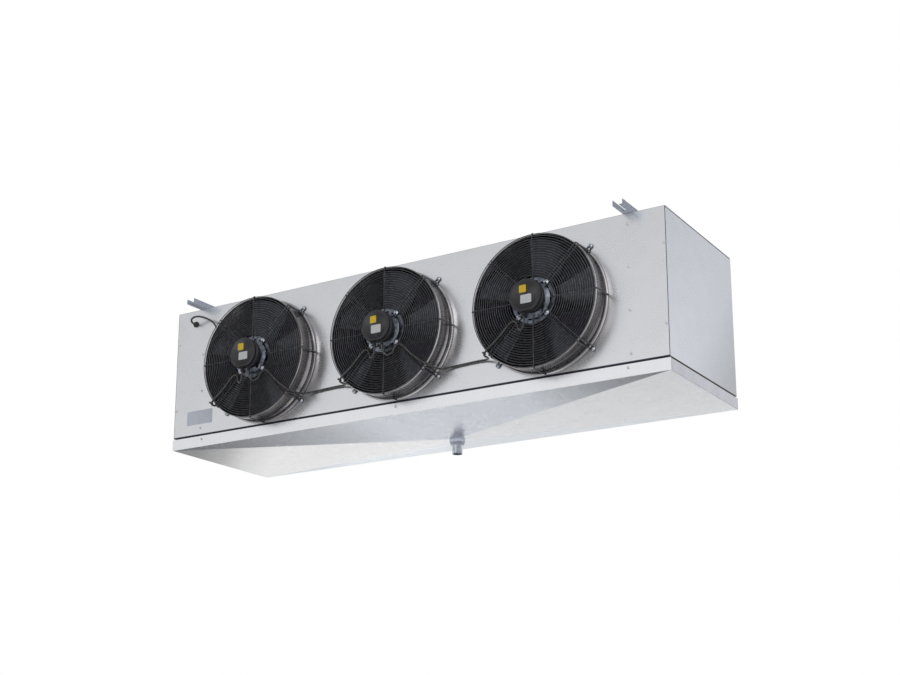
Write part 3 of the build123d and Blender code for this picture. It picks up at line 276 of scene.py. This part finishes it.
def sheetFinish(name, look):
    material, tree, bsdf, place = newMaterial(name, look["metallic"])
    stretch = look.get("stretch", (1, 1, 1))
    patches = noise(tree, place, look["patches"], 3.0, stretch)
    grain = noise(tree, place, look["grain"], 2.0, stretch)
    colour = blendColours(tree, between(tree, patches, 0, 1), look["dark"], look["light"])
    split = addNode(tree, "ShaderNodeSeparateXYZ", {"Vector": place})
    if "lipHeight" in look:
        # painted shade: below its lip the sheet is painted dark, in place of the shade in the gap
        edge = look["lipHeight"]
        below = between(tree, split.outputs["Z"], 1, 0, edge - gapShadeBlur, edge)
        colour = painted(tree, colour, below, look["lipColour"])
    if "endSeam" in look:
        # a thin dark seam where the sheet meets the side covers
        outward = addNode(tree, "ShaderNodeMath", {0: split.outputs["X"]}, operation="ABSOLUTE")
        beyond = addNode(tree, "ShaderNodeMath", {0: outward.outputs[0]}, {1: look["endSeam"]},
                         operation="GREATER_THAN")
        colour = painted(tree, colour, beyond.outputs[0], look["lipColour"])
    # painted reflection and shade on the faces that lean each listed way
    for facet in look.get("facets", ()):
        colour = paintFacetShade(tree, colour, place, facet)
    tree.links.new(colour, bsdf.inputs["Base Color"])
    both = addNode(tree, "ShaderNodeMath", {0: patches, 1: grain}, operation="ADD")
    tree.links.new(between(tree, both.outputs[0], *look["rough"], *roughSpan), bsdf.inputs["Roughness"])
    relief(tree, bsdf, grain, look["relief"], look["depth"])
    return material


gapShadeBlur = 0.0004  # metres over which a lip's painted gap shade begins
roughSpan = (0.7, 1.3)  # the sum of two noises that goes from smooth to rough
finishes = {
    "panel": {"metallic": 1, "light": (0.80, 0.805, 0.82), "dark": (0.775, 0.78, 0.795),
              "rough": (0.26, 0.30), "patches": 14, "grain": 420,
              "relief": 0.015, "depth": 0.0003},
    "bare_metal": {"metallic": 1, "light": (0.66, 0.70, 0.78), "dark": (0.42, 0.45, 0.52),
                   "rough": (0.22, 0.42), "patches": 60, "grain": 900,
                   "relief": 0.25, "depth": 0.0004},
    "zinc": {"metallic": 1, "light": (0.56, 0.59, 0.65), "dark": (0.38, 0.41, 0.46),
             "rough": (0.22, 0.42), "patches": 90, "grain": 1100,
             "relief": 0.15, "depth": 0.0003},
    "black_wire": {"metallic": 0.4, "light": (0.13, 0.13, 0.145), "dark": (0.035, 0.035, 0.04),
                   "rough": (0.16, 0.26), "patches": 70, "grain": 1500,
                   "relief": 0.05, "depth": 0.0002},
    "black_metal": {"metallic": 0.4, "light": (0.055, 0.06, 0.076), "dark": (0.010, 0.011, 0.014),
                    "rough": (0.17, 0.27), "patches": 9, "grain": 900,
                    "relief": 0.12, "depth": 0.0003},
    "black_plastic": {"metallic": 0, "light": (0.026, 0.025, 0.028), "dark": (0.018, 0.017, 0.020),
                      "rough": (0.42, 0.58), "patches": 40, "grain": 1600,
                      "relief": 0.35, "depth": 0.0003},
    "cable_black": {"metallic": 0, "light": (0.075, 0.073, 0.072), "dark": (0.03, 0.029, 0.029),
                    "rough": (0.22, 0.36), "patches": 50, "grain": 900,
                    "relief": 0.15, "depth": 0.0003},
    "seal_rubber": {"metallic": 0, "light": (0.035, 0.034, 0.034), "dark": (0.02, 0.02, 0.02),
                    "rough": (0.6, 0.8), "patches": 60, "grain": 1200,
                    "relief": 0.3, "depth": 0.0003},
    "fin_metal": {"metallic": 1, "light": (0.70, 0.71, 0.73), "dark": (0.58, 0.59, 0.61),
                  "rough": (0.28, 0.45), "patches": 20, "grain": 500,
                  "relief": 0.15, "depth": 0.0003},
    "copper": {"metallic": 1, "light": (0.78, 0.42, 0.27), "dark": (0.50, 0.24, 0.15),
               "rough": (0.22, 0.46), "patches": 35, "grain": 700,
               "relief": 0.12, "depth": 0.0003},
    "blankPlate": {"metallic": 0, "light": (0.70, 0.74, 0.82), "dark": (0.67, 0.71, 0.79),
                   "rough": (0.30, 0.40), "patches": 60, "grain": 900,
                   "relief": 0.05, "depth": 0.0002},
    "whiteSticker": {"metallic": 0, "light": (0.66, 0.67, 0.68), "dark": (0.60, 0.61, 0.62),
                     "rough": (0.35, 0.45), "patches": 90, "grain": 900,
                     "relief": 0.05, "depth": 0.0002},
    "yellowSticker": {"metallic": 0, "light": (0.80, 0.55, 0.02), "dark": (0.74, 0.49, 0.015),
                      "rough": (0.35, 0.45), "patches": 90, "grain": 900,
                      "relief": 0.05, "depth": 0.0002},
    "winding": {"metallic": 0, "light": (0.42, 0.17, 0.08), "dark": (0.24, 0.09, 0.04),
                "rough": (0.30, 0.45), "patches": 80, "grain": 900, "stretch": (1, 6, 1),
                "relief": 0.4, "depth": 0.0006},
}

collarLook = {"light": (0.62, 0.61, 0.62), "dark": (0.26, 0.24, 0.24), "rough": (0.17, 0.27),
              "lines": 420, "lineStretch": (0.02, 1, 0.02), "streaks": 60,
              "streakStretch": (0.05, 1, 0.05), "streakSpan": (0.35, 0.65),
              "relief": 0.04, "depth": 0.0002}


def collarFinish(look):
    # bright spun metal with fine lines round it, that lie across the fan's axis
    material, tree, bsdf, place = newMaterial("spunCollar", 1)
    lines = noise(tree, place, look["lines"], 3.0, look["lineStretch"])
    # dark and light streaks: the spun metal's uneven tone, and painted reflection of the dark guard in its wall
    streaks = noise(tree, place, look["streaks"], 3.0, look["streakStretch"])
    streaked = between(tree, streaks, 0, 1, *look["streakSpan"])
    tree.links.new(blendColours(tree, streaked, look["dark"], look["light"]), bsdf.inputs["Base Color"])
    tree.links.new(between(tree, lines, *look["rough"]), bsdf.inputs["Roughness"])
    relief(tree, bsdf, lines, look["relief"], look["depth"])
    return material


# Sheets and fittings that differ from their slot's finish

sheetLook = finishes["panel"]
upright, sloping = (0.5, 1.1), (0.02, 0.5)  # how far a face leans the way that a facet faces
casingEnds = (casingLow.x, casingHigh.x)
leftCorner = casingLow.x + casingLow.y
# the side covers: painted gap shade below the lip, and painted shade darker towards the bottom and the back
finishes["sideSheet"] = {**sheetLook, "lipHeight": trayTop + 0.0075, "lipColour": (0.13, 0.09, 0.07),
                         "facets": [
                             {"faces": (1, 0, 0), "lean": upright, "tint": (0.94, 0.96, 1.0),
                              "toward": (0, 0.7, -0.7), "span": (0.15, 0.55),
                              "shades": [(0, 1.0), (0.35, 0.94), (1, 0.62)]}]}
# the front panel: painted gap shade below its lip, and a dark seam at each end
finishes["frontSheet"] = {**sheetLook, "lipHeight": trayTop + 0.0098, "lipColour": (0.05, 0.05, 0.07),
                          "endSeam": casingHigh.x - 0.0018}
# the top panel: the panel's sheet painted darker and rougher as painted shade, with painted gap shade at its edge
finishes["topSheet"] = {**sheetLook, "light": (0.60, 0.605, 0.62), "dark": (0.56, 0.565, 0.58),
                        "rough": (0.44, 0.50), "lipHeight": casingHigh.z - 0.0021,
                        "lipColour": (0.04, 0.035, 0.03)}
# the tray: brighter than the panel's sheet, with painted reflection shades on each slope, darker towards the ends
# and the front-left corner
finishes["traySheet"] = {**sheetLook, "light": (0.93, 0.935, 0.95), "dark": (0.90, 0.905, 0.92),
                         "facets": [
                             {"faces": (0, -1, 0), "lean": sloping, "tint": (0.94, 0.965, 1.0),
                              "toward": (1, 0, 0), "span": casingEnds,
                              "shades": [(0, 0.18), (0.12, 0.36), (0.31, 0.66), (0.46, 1.0),
                                         (0.74, 1.0), (0.87, 0.62), (1, 0.36)]},
                             {"faces": (-1, 0, 0), "lean": sloping, "tint": (1.0, 0.985, 0.97),
                              "toward": (1, 1, 0), "span": (leftCorner, leftCorner + 0.59),
                              "shades": [(0, 0.06), (0.25, 0.16), (0.5, 0.40), (0.75, 0.84),
                                         (1, 1.0)]},
                             {"faces": (0, 1, 0), "lean": sloping, "tint": (0.90, 0.95, 1.0),
                              "toward": (1, 0, 0), "span": casingEnds,
                              "shades": [(0, 0.80), (1, 0.62)]}]}
finishes["endSheet"] = {**sheetLook, "light": (0.60, 0.61, 0.65), "dark": (0.54, 0.55, 0.59)}
finishes["railZinc"] = {**finishes["zinc"], "light": (0.42, 0.45, 0.52), "dark": (0.26, 0.29, 0.34)}
finishes["headZinc"] = {**finishes["zinc"], "light": (0.84, 0.83, 0.82), "dark": (0.50, 0.47, 0.45)}
finishes["flangeMetal"] = {**finishes["bare_metal"], "light": (0.25, 0.27, 0.32),
                           "dark": (0.05, 0.056, 0.07)}
ownFinish = {
    "front_panel": "frontSheet", "top_panel": "topSheet", "tray_pan": "traySheet",
    "side_cover_left": "sideSheet", "side_cover_right": "sideSheet",
    "tray_end_left": "endSheet", "tray_end_right": "endSheet",
    "hanging_rail_left": "railZinc", "hanging_rail_right": "railZinc",
    "panel_bolts": "headZinc", "end_screws": "headZinc", "tray_screws": "headZinc",
    "motor_flange_1": "flangeMetal", "motor_flange_2": "flangeMetal", "motor_flange_3": "flangeMetal",
}
materials = {slot: sheetFinish(slot, look) for slot, look in finishes.items()}
materials["bright_metal"] = collarFinish(collarLook)
print("finishes mixed:", len(materials))


# Shared ways to make a piece

def finishOf(name):
    return materials[ownFinish.get(name, slotOf[name])]


def newPiece(name, mesh, body, slot, material=None, stands=()):
    mesh.materials.clear()
    mesh.materials.append(material or materials[slot])
    piece = bpy.data.objects.new(name, mesh)
    scene.collection.objects.link(piece)
    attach(piece, body)
    if stands:
        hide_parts(*stands)


def atFan(number):
    # local x runs along the casing, y up and z ahead of the front panel
    return Matrix.Translation(fanCentres[number]) @ Matrix.Rotation(math.pi / 2, 4, "X")


def mergedCopy(nodeName, sharpAngle=math.radians(32), mergeWithin=1e-6):
    mesh = nodes[nodeName].data.copy()
    made = bmesh.new()
    made.from_mesh(mesh)
    bmesh.ops.remove_doubles(made, verts=made.verts, dist=mergeWithin)
    made.to_mesh(mesh)
    made.free()
    mesh.shade_smooth()
    mesh.set_sharp_from_angle(angle=sharpAngle)
    return mesh


def softenNode(nodeName):
    mesh = mergedCopy(nodeName)
    mesh.name = nodeName + "Shape"
    newPiece(nodeName + "_finished", mesh, bodyOf[nodeName], slotOf[nodeName],
             finishOf(nodeName), [nodeName])


def newTree(name, sizes):
    tree = bpy.data.node_groups.new(name, "GeometryNodeTree")
    tree.interface.new_socket("Geometry", in_out="INPUT", socket_type="NodeSocketGeometry")
    for label, value in sizes.items():
        kind = "NodeSocketInt" if isinstance(value, int) else "NodeSocketFloat"
        tree.interface.new_socket(label, in_out="INPUT", socket_type=kind).default_value = value
    tree.interface.new_socket("Surface", in_out="INPUT", socket_type="NodeSocketMaterial")
    tree.interface.new_socket("Geometry", in_out="OUTPUT", socket_type="NodeSocketGeometry")
    return tree, addNode(tree, "NodeGroupInput").outputs


def closeTree(tree, source, geometry, smooth=True):
    real = addNode(tree, "GeometryNodeRealizeInstances", {"Geometry": geometry})
    shaded = addNode(tree, "GeometryNodeSetShadeSmooth", {"Geometry": real.outputs[0]},
                     {"Shade Smooth": smooth})
    dressed = addNode(tree, "GeometryNodeSetMaterial",
                      {"Geometry": shaded.outputs[0], "Material": source["Surface"]})
    addNode(tree, "NodeGroupOutput", {"Geometry": dressed.outputs[0]})


def growMesh(tree, base, sizes, material):
    holder = bpy.data.objects.new(tree.name, base)
    scene.collection.objects.link(holder)
    modifier = holder.modifiers.new(tree.name, "NODES")
    modifier.node_group = tree
    sockets = {item.name: item.identifier for item in tree.interface.items_tree
               if item.item_type == "SOCKET" and item.in_out == "INPUT"}
    for label, value in sizes.items():
        modifier[sockets[label]] = value
    modifier[sockets["Surface"]] = material
    graph = bpy.context.evaluated_depsgraph_get()
    mesh = bpy.data.meshes.new_from_object(holder.evaluated_get(graph), depsgraph=graph)
    holder.modifiers.clear()
    bpy.data.objects.remove(holder)
    return mesh


# Wire guards: rings on bent struts, with an eyelet foot at every second strut

ringCount, firstRing, lastRing = 18, 0.093, 0.248
guardLook = {
    "Rings": ringCount,
    "First Radius": firstRing,
    "Ring Step": (lastRing - firstRing) / (ringCount - 1),
    "Ring Ahead": 0.091,
    "Ring Wire": 0.0015,
    "Base Radius": 0.2507,
    "Base Ahead": 0.012,
    "Strut Wire": 0.00225,
    "Bend": 0.006,
}
strutLook = {"ahead": 0.0872, "inner": 0.074, "leg": 0.2545, "pairHalf": 0.007, "footReach": 0.2795,
             "footAhead": 0.00235, "singleEnd": 0.0003}
wireDetail = {"bendSteps": 7, "strutSides": 10, "ringSteps": 112, "ringSides": 8}


def guardTree():
    tree, size = newTree("wireGuard", guardLook)
    wires = addNode(tree, "GeometryNodeMeshToCurve", {"Mesh": size["Geometry"]})
    bent = addNode(tree, "GeometryNodeFilletCurve",
                   {"Curve": wires.outputs[0], "Radius": size["Bend"]},
                   {"Count": wireDetail["bendSteps"]}, mode="POLY")
    strutRound = addNode(tree, "GeometryNodeCurvePrimitiveCircle", {"Radius": size["Strut Wire"]},
                         {"Resolution": wireDetail["strutSides"]})
    struts = addNode(tree, "GeometryNodeCurveToMesh",
                     {"Curve": bent.outputs[0], "Profile Curve": strutRound.outputs["Curve"]},
                     {"Fill Caps": True})
    spots = addNode(tree, "GeometryNodeMeshLine", None, {"Count": 4, "Offset": (0, 0, 0)})
    index = addNode(tree, "GeometryNodeInputIndex")
    quarter = addNode(tree, "ShaderNodeMath", {0: index.outputs[0]}, {1: math.pi / 2},
                      operation="MULTIPLY")
    turn = addNode(tree, "ShaderNodeCombineXYZ", {"Z": quarter.outputs[0]})
    fourStruts = addNode(tree, "GeometryNodeInstanceOnPoints",
                         {"Points": spots.outputs["Mesh"], "Instance": struts.outputs["Mesh"],
                          "Rotation": turn.outputs[0]})
    ringSpots = addNode(tree, "GeometryNodeMeshLine", {"Count": size["Rings"]},
                        {"Offset": (0, 0, 0)})
    ringIndex = addNode(tree, "GeometryNodeInputIndex")
    ringRadius = addNode(tree, "ShaderNodeMath",
                         {0: ringIndex.outputs[0], 1: size["Ring Step"], 2: size["First Radius"]},
                         operation="MULTIPLY_ADD")
    unitRing = addNode(tree, "GeometryNodeCurvePrimitiveCircle", None,
                       {"Resolution": wireDetail["ringSteps"], "Radius": 1.0})
    rings = addNode(tree, "GeometryNodeInstanceOnPoints",
                    {"Points": ringSpots.outputs["Mesh"], "Instance": unitRing.outputs["Curve"],
                     "Scale": ringRadius.outputs[0]})
    realRings = addNode(tree, "GeometryNodeRealizeInstances", {"Geometry": rings.outputs[0]})
    ringLift = addNode(tree, "ShaderNodeCombineXYZ", {"Z": size["Ring Ahead"]})
    frontRings = addNode(tree, "GeometryNodeTransform",
                         {"Geometry": realRings.outputs[0], "Translation": ringLift.outputs[0]})
    baseRing = addNode(tree, "GeometryNodeCurvePrimitiveCircle", {"Radius": size["Base Radius"]},
                       {"Resolution": wireDetail["ringSteps"]})
    baseLift = addNode(tree, "ShaderNodeCombineXYZ", {"Z": size["Base Ahead"]})
    lowRing = addNode(tree, "GeometryNodeTransform",
                      {"Geometry": baseRing.outputs["Curve"], "Translation": baseLift.outputs[0]})
    allRings = addNode(tree, "GeometryNodeJoinGeometry")
    tree.links.new(frontRings.outputs[0], allRings.inputs[0])
    tree.links.new(lowRing.outputs[0], allRings.inputs[0])
    ringRound = addNode(tree, "GeometryNodeCurvePrimitiveCircle", {"Radius": size["Ring Wire"]},
                        {"Resolution": wireDetail["ringSides"]})
    ringMesh = addNode(tree, "GeometryNodeCurveToMesh",
                       {"Curve": allRings.outputs[0], "Profile Curve": ringRound.outputs["Curve"]})
    both = addNode(tree, "GeometryNodeJoinGeometry")
    tree.links.new(fourStruts.outputs[0], both.inputs[0])
    tree.links.new(ringMesh.outputs["Mesh"], both.inputs[0])
    closeTree(tree, size, both.outputs[0])
    return tree


def strutLines():
    look = strutLook
    half, foot = look["pairHalf"], look["footAhead"]
    pair = [(look["inner"], half, look["ahead"]), (look["leg"], half, look["ahead"]),
            (look["leg"], half, foot), (look["footReach"], half, foot),
            (look["footReach"], -half, foot), (look["leg"], -half, foot),
            (look["leg"], -half, look["ahead"]), (look["inner"], -half, look["ahead"])]
    turn = Matrix.Rotation(math.pi / 4, 4, "Z")
    points = [turn @ Vector(point) for point in pair]
    single = [(look["inner"], 0, look["ahead"]), (look["leg"], 0, look["ahead"]),
              (look["leg"], 0, look["singleEnd"])]
    edges = [(k, k + 1) for k in range(len(points) - 1)]
    edges += [(len(points) + k, len(points) + k + 1) for k in range(len(single) - 1)]
    mesh = bpy.data.meshes.new("strutLines")
    mesh.from_pydata(points + [Vector(point) for point in single], edges, [])
    return mesh


def buildGuards():
    guard = growMesh(guardTree(), strutLines(), guardLook, materials["black_wire"])
    for number in range(len(fanCentres)):
        mesh = guard.copy()
        mesh.transform(atFan(number))
        newPiece(f"wireGuard_{number + 1}", mesh, "casing", "black_wire", None,
                 [f"fan_guard_{number + 1}"])
    print("guards made,", len(guard.polygons), "faces each")


buildGuards()


# Coil: thin fins on rows of tubes

coilLow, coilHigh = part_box("coil_fins")
finInset = 0.0005  # kept inside the solid block
coilLook = {"Fins": 322, "Pitch": 0.006, "Thickness": 0.00025,
            "Depth": coilHigh.y - coilLow.y - finInset, "Height": coilHigh.z - coilLow.z - finInset,
            "Columns": 4, "Rows": 10, "Tube Pitch": 0.05, "Tube Radius": 0.006}
tubeSides = 16


def coilTree():
    tree, size = newTree("finBlock", coilLook)
    fin = addNode(tree, "ShaderNodeCombineXYZ",
                  {"X": size["Thickness"], "Y": size["Depth"], "Z": size["Height"]})
    finShape = addNode(tree, "GeometryNodeMeshCube", {"Size": fin.outputs[0]})
    last = addNode(tree, "ShaderNodeMath", {0: size["Fins"]}, {1: 1.0}, operation="SUBTRACT")
    length = addNode(tree, "ShaderNodeMath", {0: last.outputs[0], 1: size["Pitch"]},
                     operation="MULTIPLY")
    start = addNode(tree, "ShaderNodeMath", {0: length.outputs[0]}, {1: -0.5}, operation="MULTIPLY")
    first = addNode(tree, "ShaderNodeCombineXYZ", {"X": start.outputs[0]})
    step = addNode(tree, "ShaderNodeCombineXYZ", {"X": size["Pitch"]})
    row = addNode(tree, "GeometryNodeMeshLine",
                  {"Count": size["Fins"], "Start Location": first.outputs[0],
                   "Offset": step.outputs[0]})
    fins = addNode(tree, "GeometryNodeInstanceOnPoints",
                   {"Points": row.outputs["Mesh"], "Instance": finShape.outputs["Mesh"]})
    tube = addNode(tree, "GeometryNodeMeshCylinder",
                   {"Radius": size["Tube Radius"], "Depth": length.outputs[0]}, {"Vertices": tubeSides})
    across = addNode(tree, "ShaderNodeMath", {0: size["Columns"], 1: size["Tube Pitch"]},
                     operation="MULTIPLY")
    tall = addNode(tree, "ShaderNodeMath", {0: size["Rows"], 1: size["Tube Pitch"]},
                   operation="MULTIPLY")
    width = addNode(tree, "ShaderNodeMath", {0: across.outputs[0], 1: size["Tube Pitch"]},
                    operation="SUBTRACT")
    height = addNode(tree, "ShaderNodeMath", {0: tall.outputs[0], 1: size["Tube Pitch"]},
                     operation="SUBTRACT")
    grid = addNode(tree, "GeometryNodeMeshGrid",
                   {"Size X": width.outputs[0], "Size Y": height.outputs[0],
                    "Vertices X": size["Columns"], "Vertices Y": size["Rows"]})
    tubes = addNode(tree, "GeometryNodeInstanceOnPoints",
                    {"Points": grid.outputs["Mesh"], "Instance": tube.outputs["Mesh"]})
    lying = addNode(tree, "GeometryNodeTransform", {"Geometry": tubes.outputs[0]},
                    {"Rotation": (math.pi / 2, 0, math.pi / 2)})
    both = addNode(tree, "GeometryNodeJoinGeometry")
    tree.links.new(fins.outputs[0], both.inputs[0])
    tree.links.new(lying.outputs[0], both.inputs[0])
    closeTree(tree, size, both.outputs[0], smooth=False)
    return tree


def buildCoil():
    base = bpy.data.meshes.new("coilBase")
    mesh = growMesh(coilTree(), base, coilLook, materials["fin_metal"])
    mesh.transform(Matrix.Translation((coilLow + coilHigh) / 2))
    newPiece("finBlock", mesh, "casing", "fin_metal", None, ["coil_fins"])
    print("coil made,", len(mesh.polygons), "faces")


buildCoil()


# Every other node keeps its shape and gets its finish, with smooth shading on the round ones

roundNodes = ["return_bends_left", "return_bends_right", "suction_header", "liquid_distributor",
              "drain_tail", "drain_seal", "drain_nut", "guard_bolts", "guard_nuts", "motor_screws",
              "motor_bearings", "stator_cores", "cable_glands", "supply_gland", "panel_bolts",
              "end_screws", "tray_screws", "rail_bolts", "hinge_pins"]
fanParts = ["fan_collar", "motor_flange", "terminal_box", "fan_rotor", "fan_shaft", "impeller"]
for number in range(len(fanCentres)):
    roundNodes += [f"{stem}_{number + 1}" for stem in fanParts]


def finishNodes():
    for name, node in nodes.items():
        if node.hide_render or name.startswith("terminal_lid"):
            continue
        if name in roundNodes:
            softenNode(name)
        else:
            node.data.materials.clear()
            node.data.materials.append(finishOf(name))


# Cables: the same routes as in the part, as smooth round sheaths

cableLook = {"radius": 0.004, "order": 3, "resolution": 8, "bevelSteps": 3}
fanLead = [(-16, -70, 124), (-16, -93, 124), (-30, -114, 114), (-50, -107, 105), (-57, -82, 99),
           (-74, -67, 97.5), (-98, -82, 97.5), (-136, -124, 98), (-206, -174, 100)]  # fan's own mm
panelCurl = [(-1026, 62, 12), (-1026, 62, 30), (-1018, 48, 42), (-990, 40, 38), (-946, 54, 28),
             (-900, 86, 20)]  # along the casing, down from its top and ahead of the panel, mm
supplyRun = [(-240, 134, 13), (-268, 0, 11), (-238, -130, 13), (-211, -167, 36)]
linkStart = [(213, 462, 30), (240, 456, 11), (309, 452, 8)]  # from the left fan's centre
linkEnd = [(-270, 450, 9), (-236, 452, 12), (-211, 456, 34)]  # from the right fan's centre
mm = 0.001


def fanPoints(number, points, mirrored=False):
    side = -1 if mirrored else 1
    return [atFan(number) @ (Vector((side * x, y, ahead)) * mm) for x, y, ahead in points]


def panelPoints(centreX, points):
    front = fanCentres[0].y
    return [Vector((centreX + x * mm, front - ahead * mm, -down * mm)) for x, down, ahead in points]


def buildCable(name, points):
    look = cableLook
    data = bpy.data.curves.new(name, "CURVE")
    data.dimensions = "3D"
    spline = data.splines.new("NURBS")
    spline.points.add(len(points) - 1)
    for point, place in zip(spline.points, points):
        point.co = (*place, 1)
    spline.order_u = look["order"]
    spline.use_endpoint_u = True
    data.resolution_u = look["resolution"]
    data.bevel_depth = look["radius"]
    data.bevel_resolution = look["bevelSteps"]
    data.use_fill_caps = True
    holder = bpy.data.objects.new(name, data)
    scene.collection.objects.link(holder)
    graph = bpy.context.evaluated_depsgraph_get()
    mesh = bpy.data.meshes.new_from_object(holder.evaluated_get(graph), depsgraph=graph)
    bpy.data.objects.remove(holder)
    mesh.shade_smooth()
    newPiece(name + "Sheath", mesh, "casing", "cable_black", None, [name])


def buildCables():
    supply = panelPoints(0, panelCurl) + fanPoints(0, supplyRun) + fanPoints(0, fanLead[::-1])
    buildCable("supply_cable", supply)
    for number in (0, 1):
        left, right = fanCentres[number].x, fanCentres[number + 1].x
        route = fanPoints(number, fanLead, mirrored=True) + panelPoints(left, linkStart)
        route += panelPoints(right, linkEnd) + fanPoints(number + 1, fanLead[::-1])
        buildCable(f"link_cable_{number + 1}", route)
    print("cables laid")


buildCables()


# Small plates and loops, made flat and then placed

def roundedOutline(left, right, low, high, corner, steps=4):
    outline = []
    turns = [(right - corner, high - corner, 0), (left + corner, high - corner, 90),
             (left + corner, low + corner, 180), (right - corner, low + corner, 270)]
    for middleX, middleY, start in turns:
        for step in range(steps + 1):
            angle = math.radians(start + 90 * step / steps)
            outline.append((middleX + corner * math.cos(angle),
                            middleY + corner * math.sin(angle)))
    return outline


def plateMesh(name, outline, start, thick):
    # the outline lies in x and y, the plate grows along z
    count = len(outline)
    points = [(x, y, start) for x, y in outline] + [(x, y, start + thick) for x, y in outline]
    faces = [tuple(range(count))[::-1], tuple(range(count, 2 * count))]
    faces += [(k, (k + 1) % count, count + (k + 1) % count, count + k) for k in range(count)]
    mesh = bpy.data.meshes.new(name)
    mesh.from_pydata(points, [], faces)
    return mesh


def joinedMesh(name, parts):
    made = bmesh.new()
    for mesh, place in parts:
        copy = mesh.copy()
        copy.transform(place)
        made.from_mesh(copy)
        bpy.data.meshes.remove(copy)
    whole = bpy.data.meshes.new(name)
    made.to_mesh(whole)
    made.free()
    return whole


# Terminal lids: the disc stands back a little for a plain yellow sticker and a blank label

lidLook = {"sunk": 0.0003, "sticker": 0.0002, "corner": 0.004,
           "yellow": (-0.022, 0.006, 0.012, 0.040), "white": (-0.017, 0.027, -0.029, 0.003)}


def buildLids():
    look = lidLook
    for number in range(len(fanCentres)):
        node = f"terminal_lid_{number + 1}"
        mesh = mergedCopy(node)
        mesh.name = node + "Shape"
        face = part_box(node)[0].y + look["sunk"]
        for vertex in mesh.vertices:
            vertex.co.y = max(vertex.co.y, face)
        newPiece(node + "_finished", mesh, "casing", "black_plastic", None, [node])
        for colour in ("yellow", "white"):
            outline = roundedOutline(*look[colour], look["corner"])
            ahead = fanCentres[number].y - face
            sticker = plateMesh(colour + "Patch", outline, ahead, look["sticker"])
            sticker.transform(atFan(number))
            newPiece(f"{colour}Patch_{number + 1}", sticker, "casing", "black_plastic",
                     materials[colour + "Sticker"])
    print("lids and blank stickers made")


# Rating plate of the unit, left bare

plateLook = {"outline": (-1.055, -0.918, -0.503, -0.443), "corner": 0.004, "thick": 0.0006}


def buildPlate():
    look = plateLook
    outline = roundedOutline(*look["outline"], look["corner"])
    plate = plateMesh("blankPlate", outline, 0, look["thick"])
    upright = Matrix.Translation((0, fanCentres[0].y, 0)) @ Matrix.Rotation(math.pi / 2, 4, "X")
    plate.transform(upright)
    newPiece("blankPlate", plate, "casing", "panel", materials["blankPlate"])
    print("bare rating plate made")


# Cable ties round the cables and the guard's wires

tieLook = {"halfWidth": 0.0058, "low": 0.0842, "high": 0.1026, "corner": 0.0035, "thick": 0.0009,
           "band": 0.0036, "head": (0.0026, 0.0024, 0.0036), "headCorner": 0.0008,
           "headSunk": 0.0006}
tieSpots = [(-0.098, -0.082, 222), (-0.136, -0.124, 219),
            (-0.198, -0.168, 215)]  # across and up from a fan's centre, with the tie's turn


def tieMesh():
    look = tieLook
    half, thick = look["halfWidth"], look["thick"]
    outer = roundedOutline(-half, half, look["low"], look["high"], look["corner"])
    inner = roundedOutline(thick - half, half - thick, look["low"] + thick, look["high"] - thick,
                           look["corner"] - thick)
    count = len(outer)
    points = []
    for along in (-look["band"] / 2, look["band"] / 2):
        points += [(along, across, ahead) for across, ahead in outer + inner]
    faces = []
    for k in range(count):
        after = (k + 1) % count
        faces += [(k, after, 2 * count + after, 2 * count + k),
                  (count + after, count + k, 3 * count + k, 3 * count + after),
                  (count + k, count + after, after, k),
                  (2 * count + k, 2 * count + after, 3 * count + after, 3 * count + k)]
    mesh = bpy.data.meshes.new("tieLoop")
    mesh.from_pydata(points, [], faces)
    return mesh


def buildTies():
    look = tieLook
    halfX, halfY, tall = look["head"]
    outline = roundedOutline(-halfX, halfX, -halfY, halfY, look["headCorner"])
    head = plateMesh("tieHead", outline, look["high"] - look["headSunk"], tall)
    loop = tieMesh()
    parts = []
    for number in range(len(fanCentres)):
        # the right-hand fan has a cable at its left only
        for side in ((1,) if number == len(fanCentres) - 1 else (1, -1)):
            for x, y, turn in tieSpots:
                angle = math.radians(turn if side == 1 else 180 - turn)
                spot = Matrix.Translation((side * x, y, 0)) @ Matrix.Rotation(angle, 4, "Z")
                parts += [(loop, atFan(number) @ spot), (head, atFan(number) @ spot)]
    newPiece("cableTies", joinedMesh("cableTies", parts), "casing", "black_plastic",
             materials["cable_black"])
    print("cable ties made")


buildLids()
buildPlate()
buildTies()
finishNodes()
print("finishes put on")
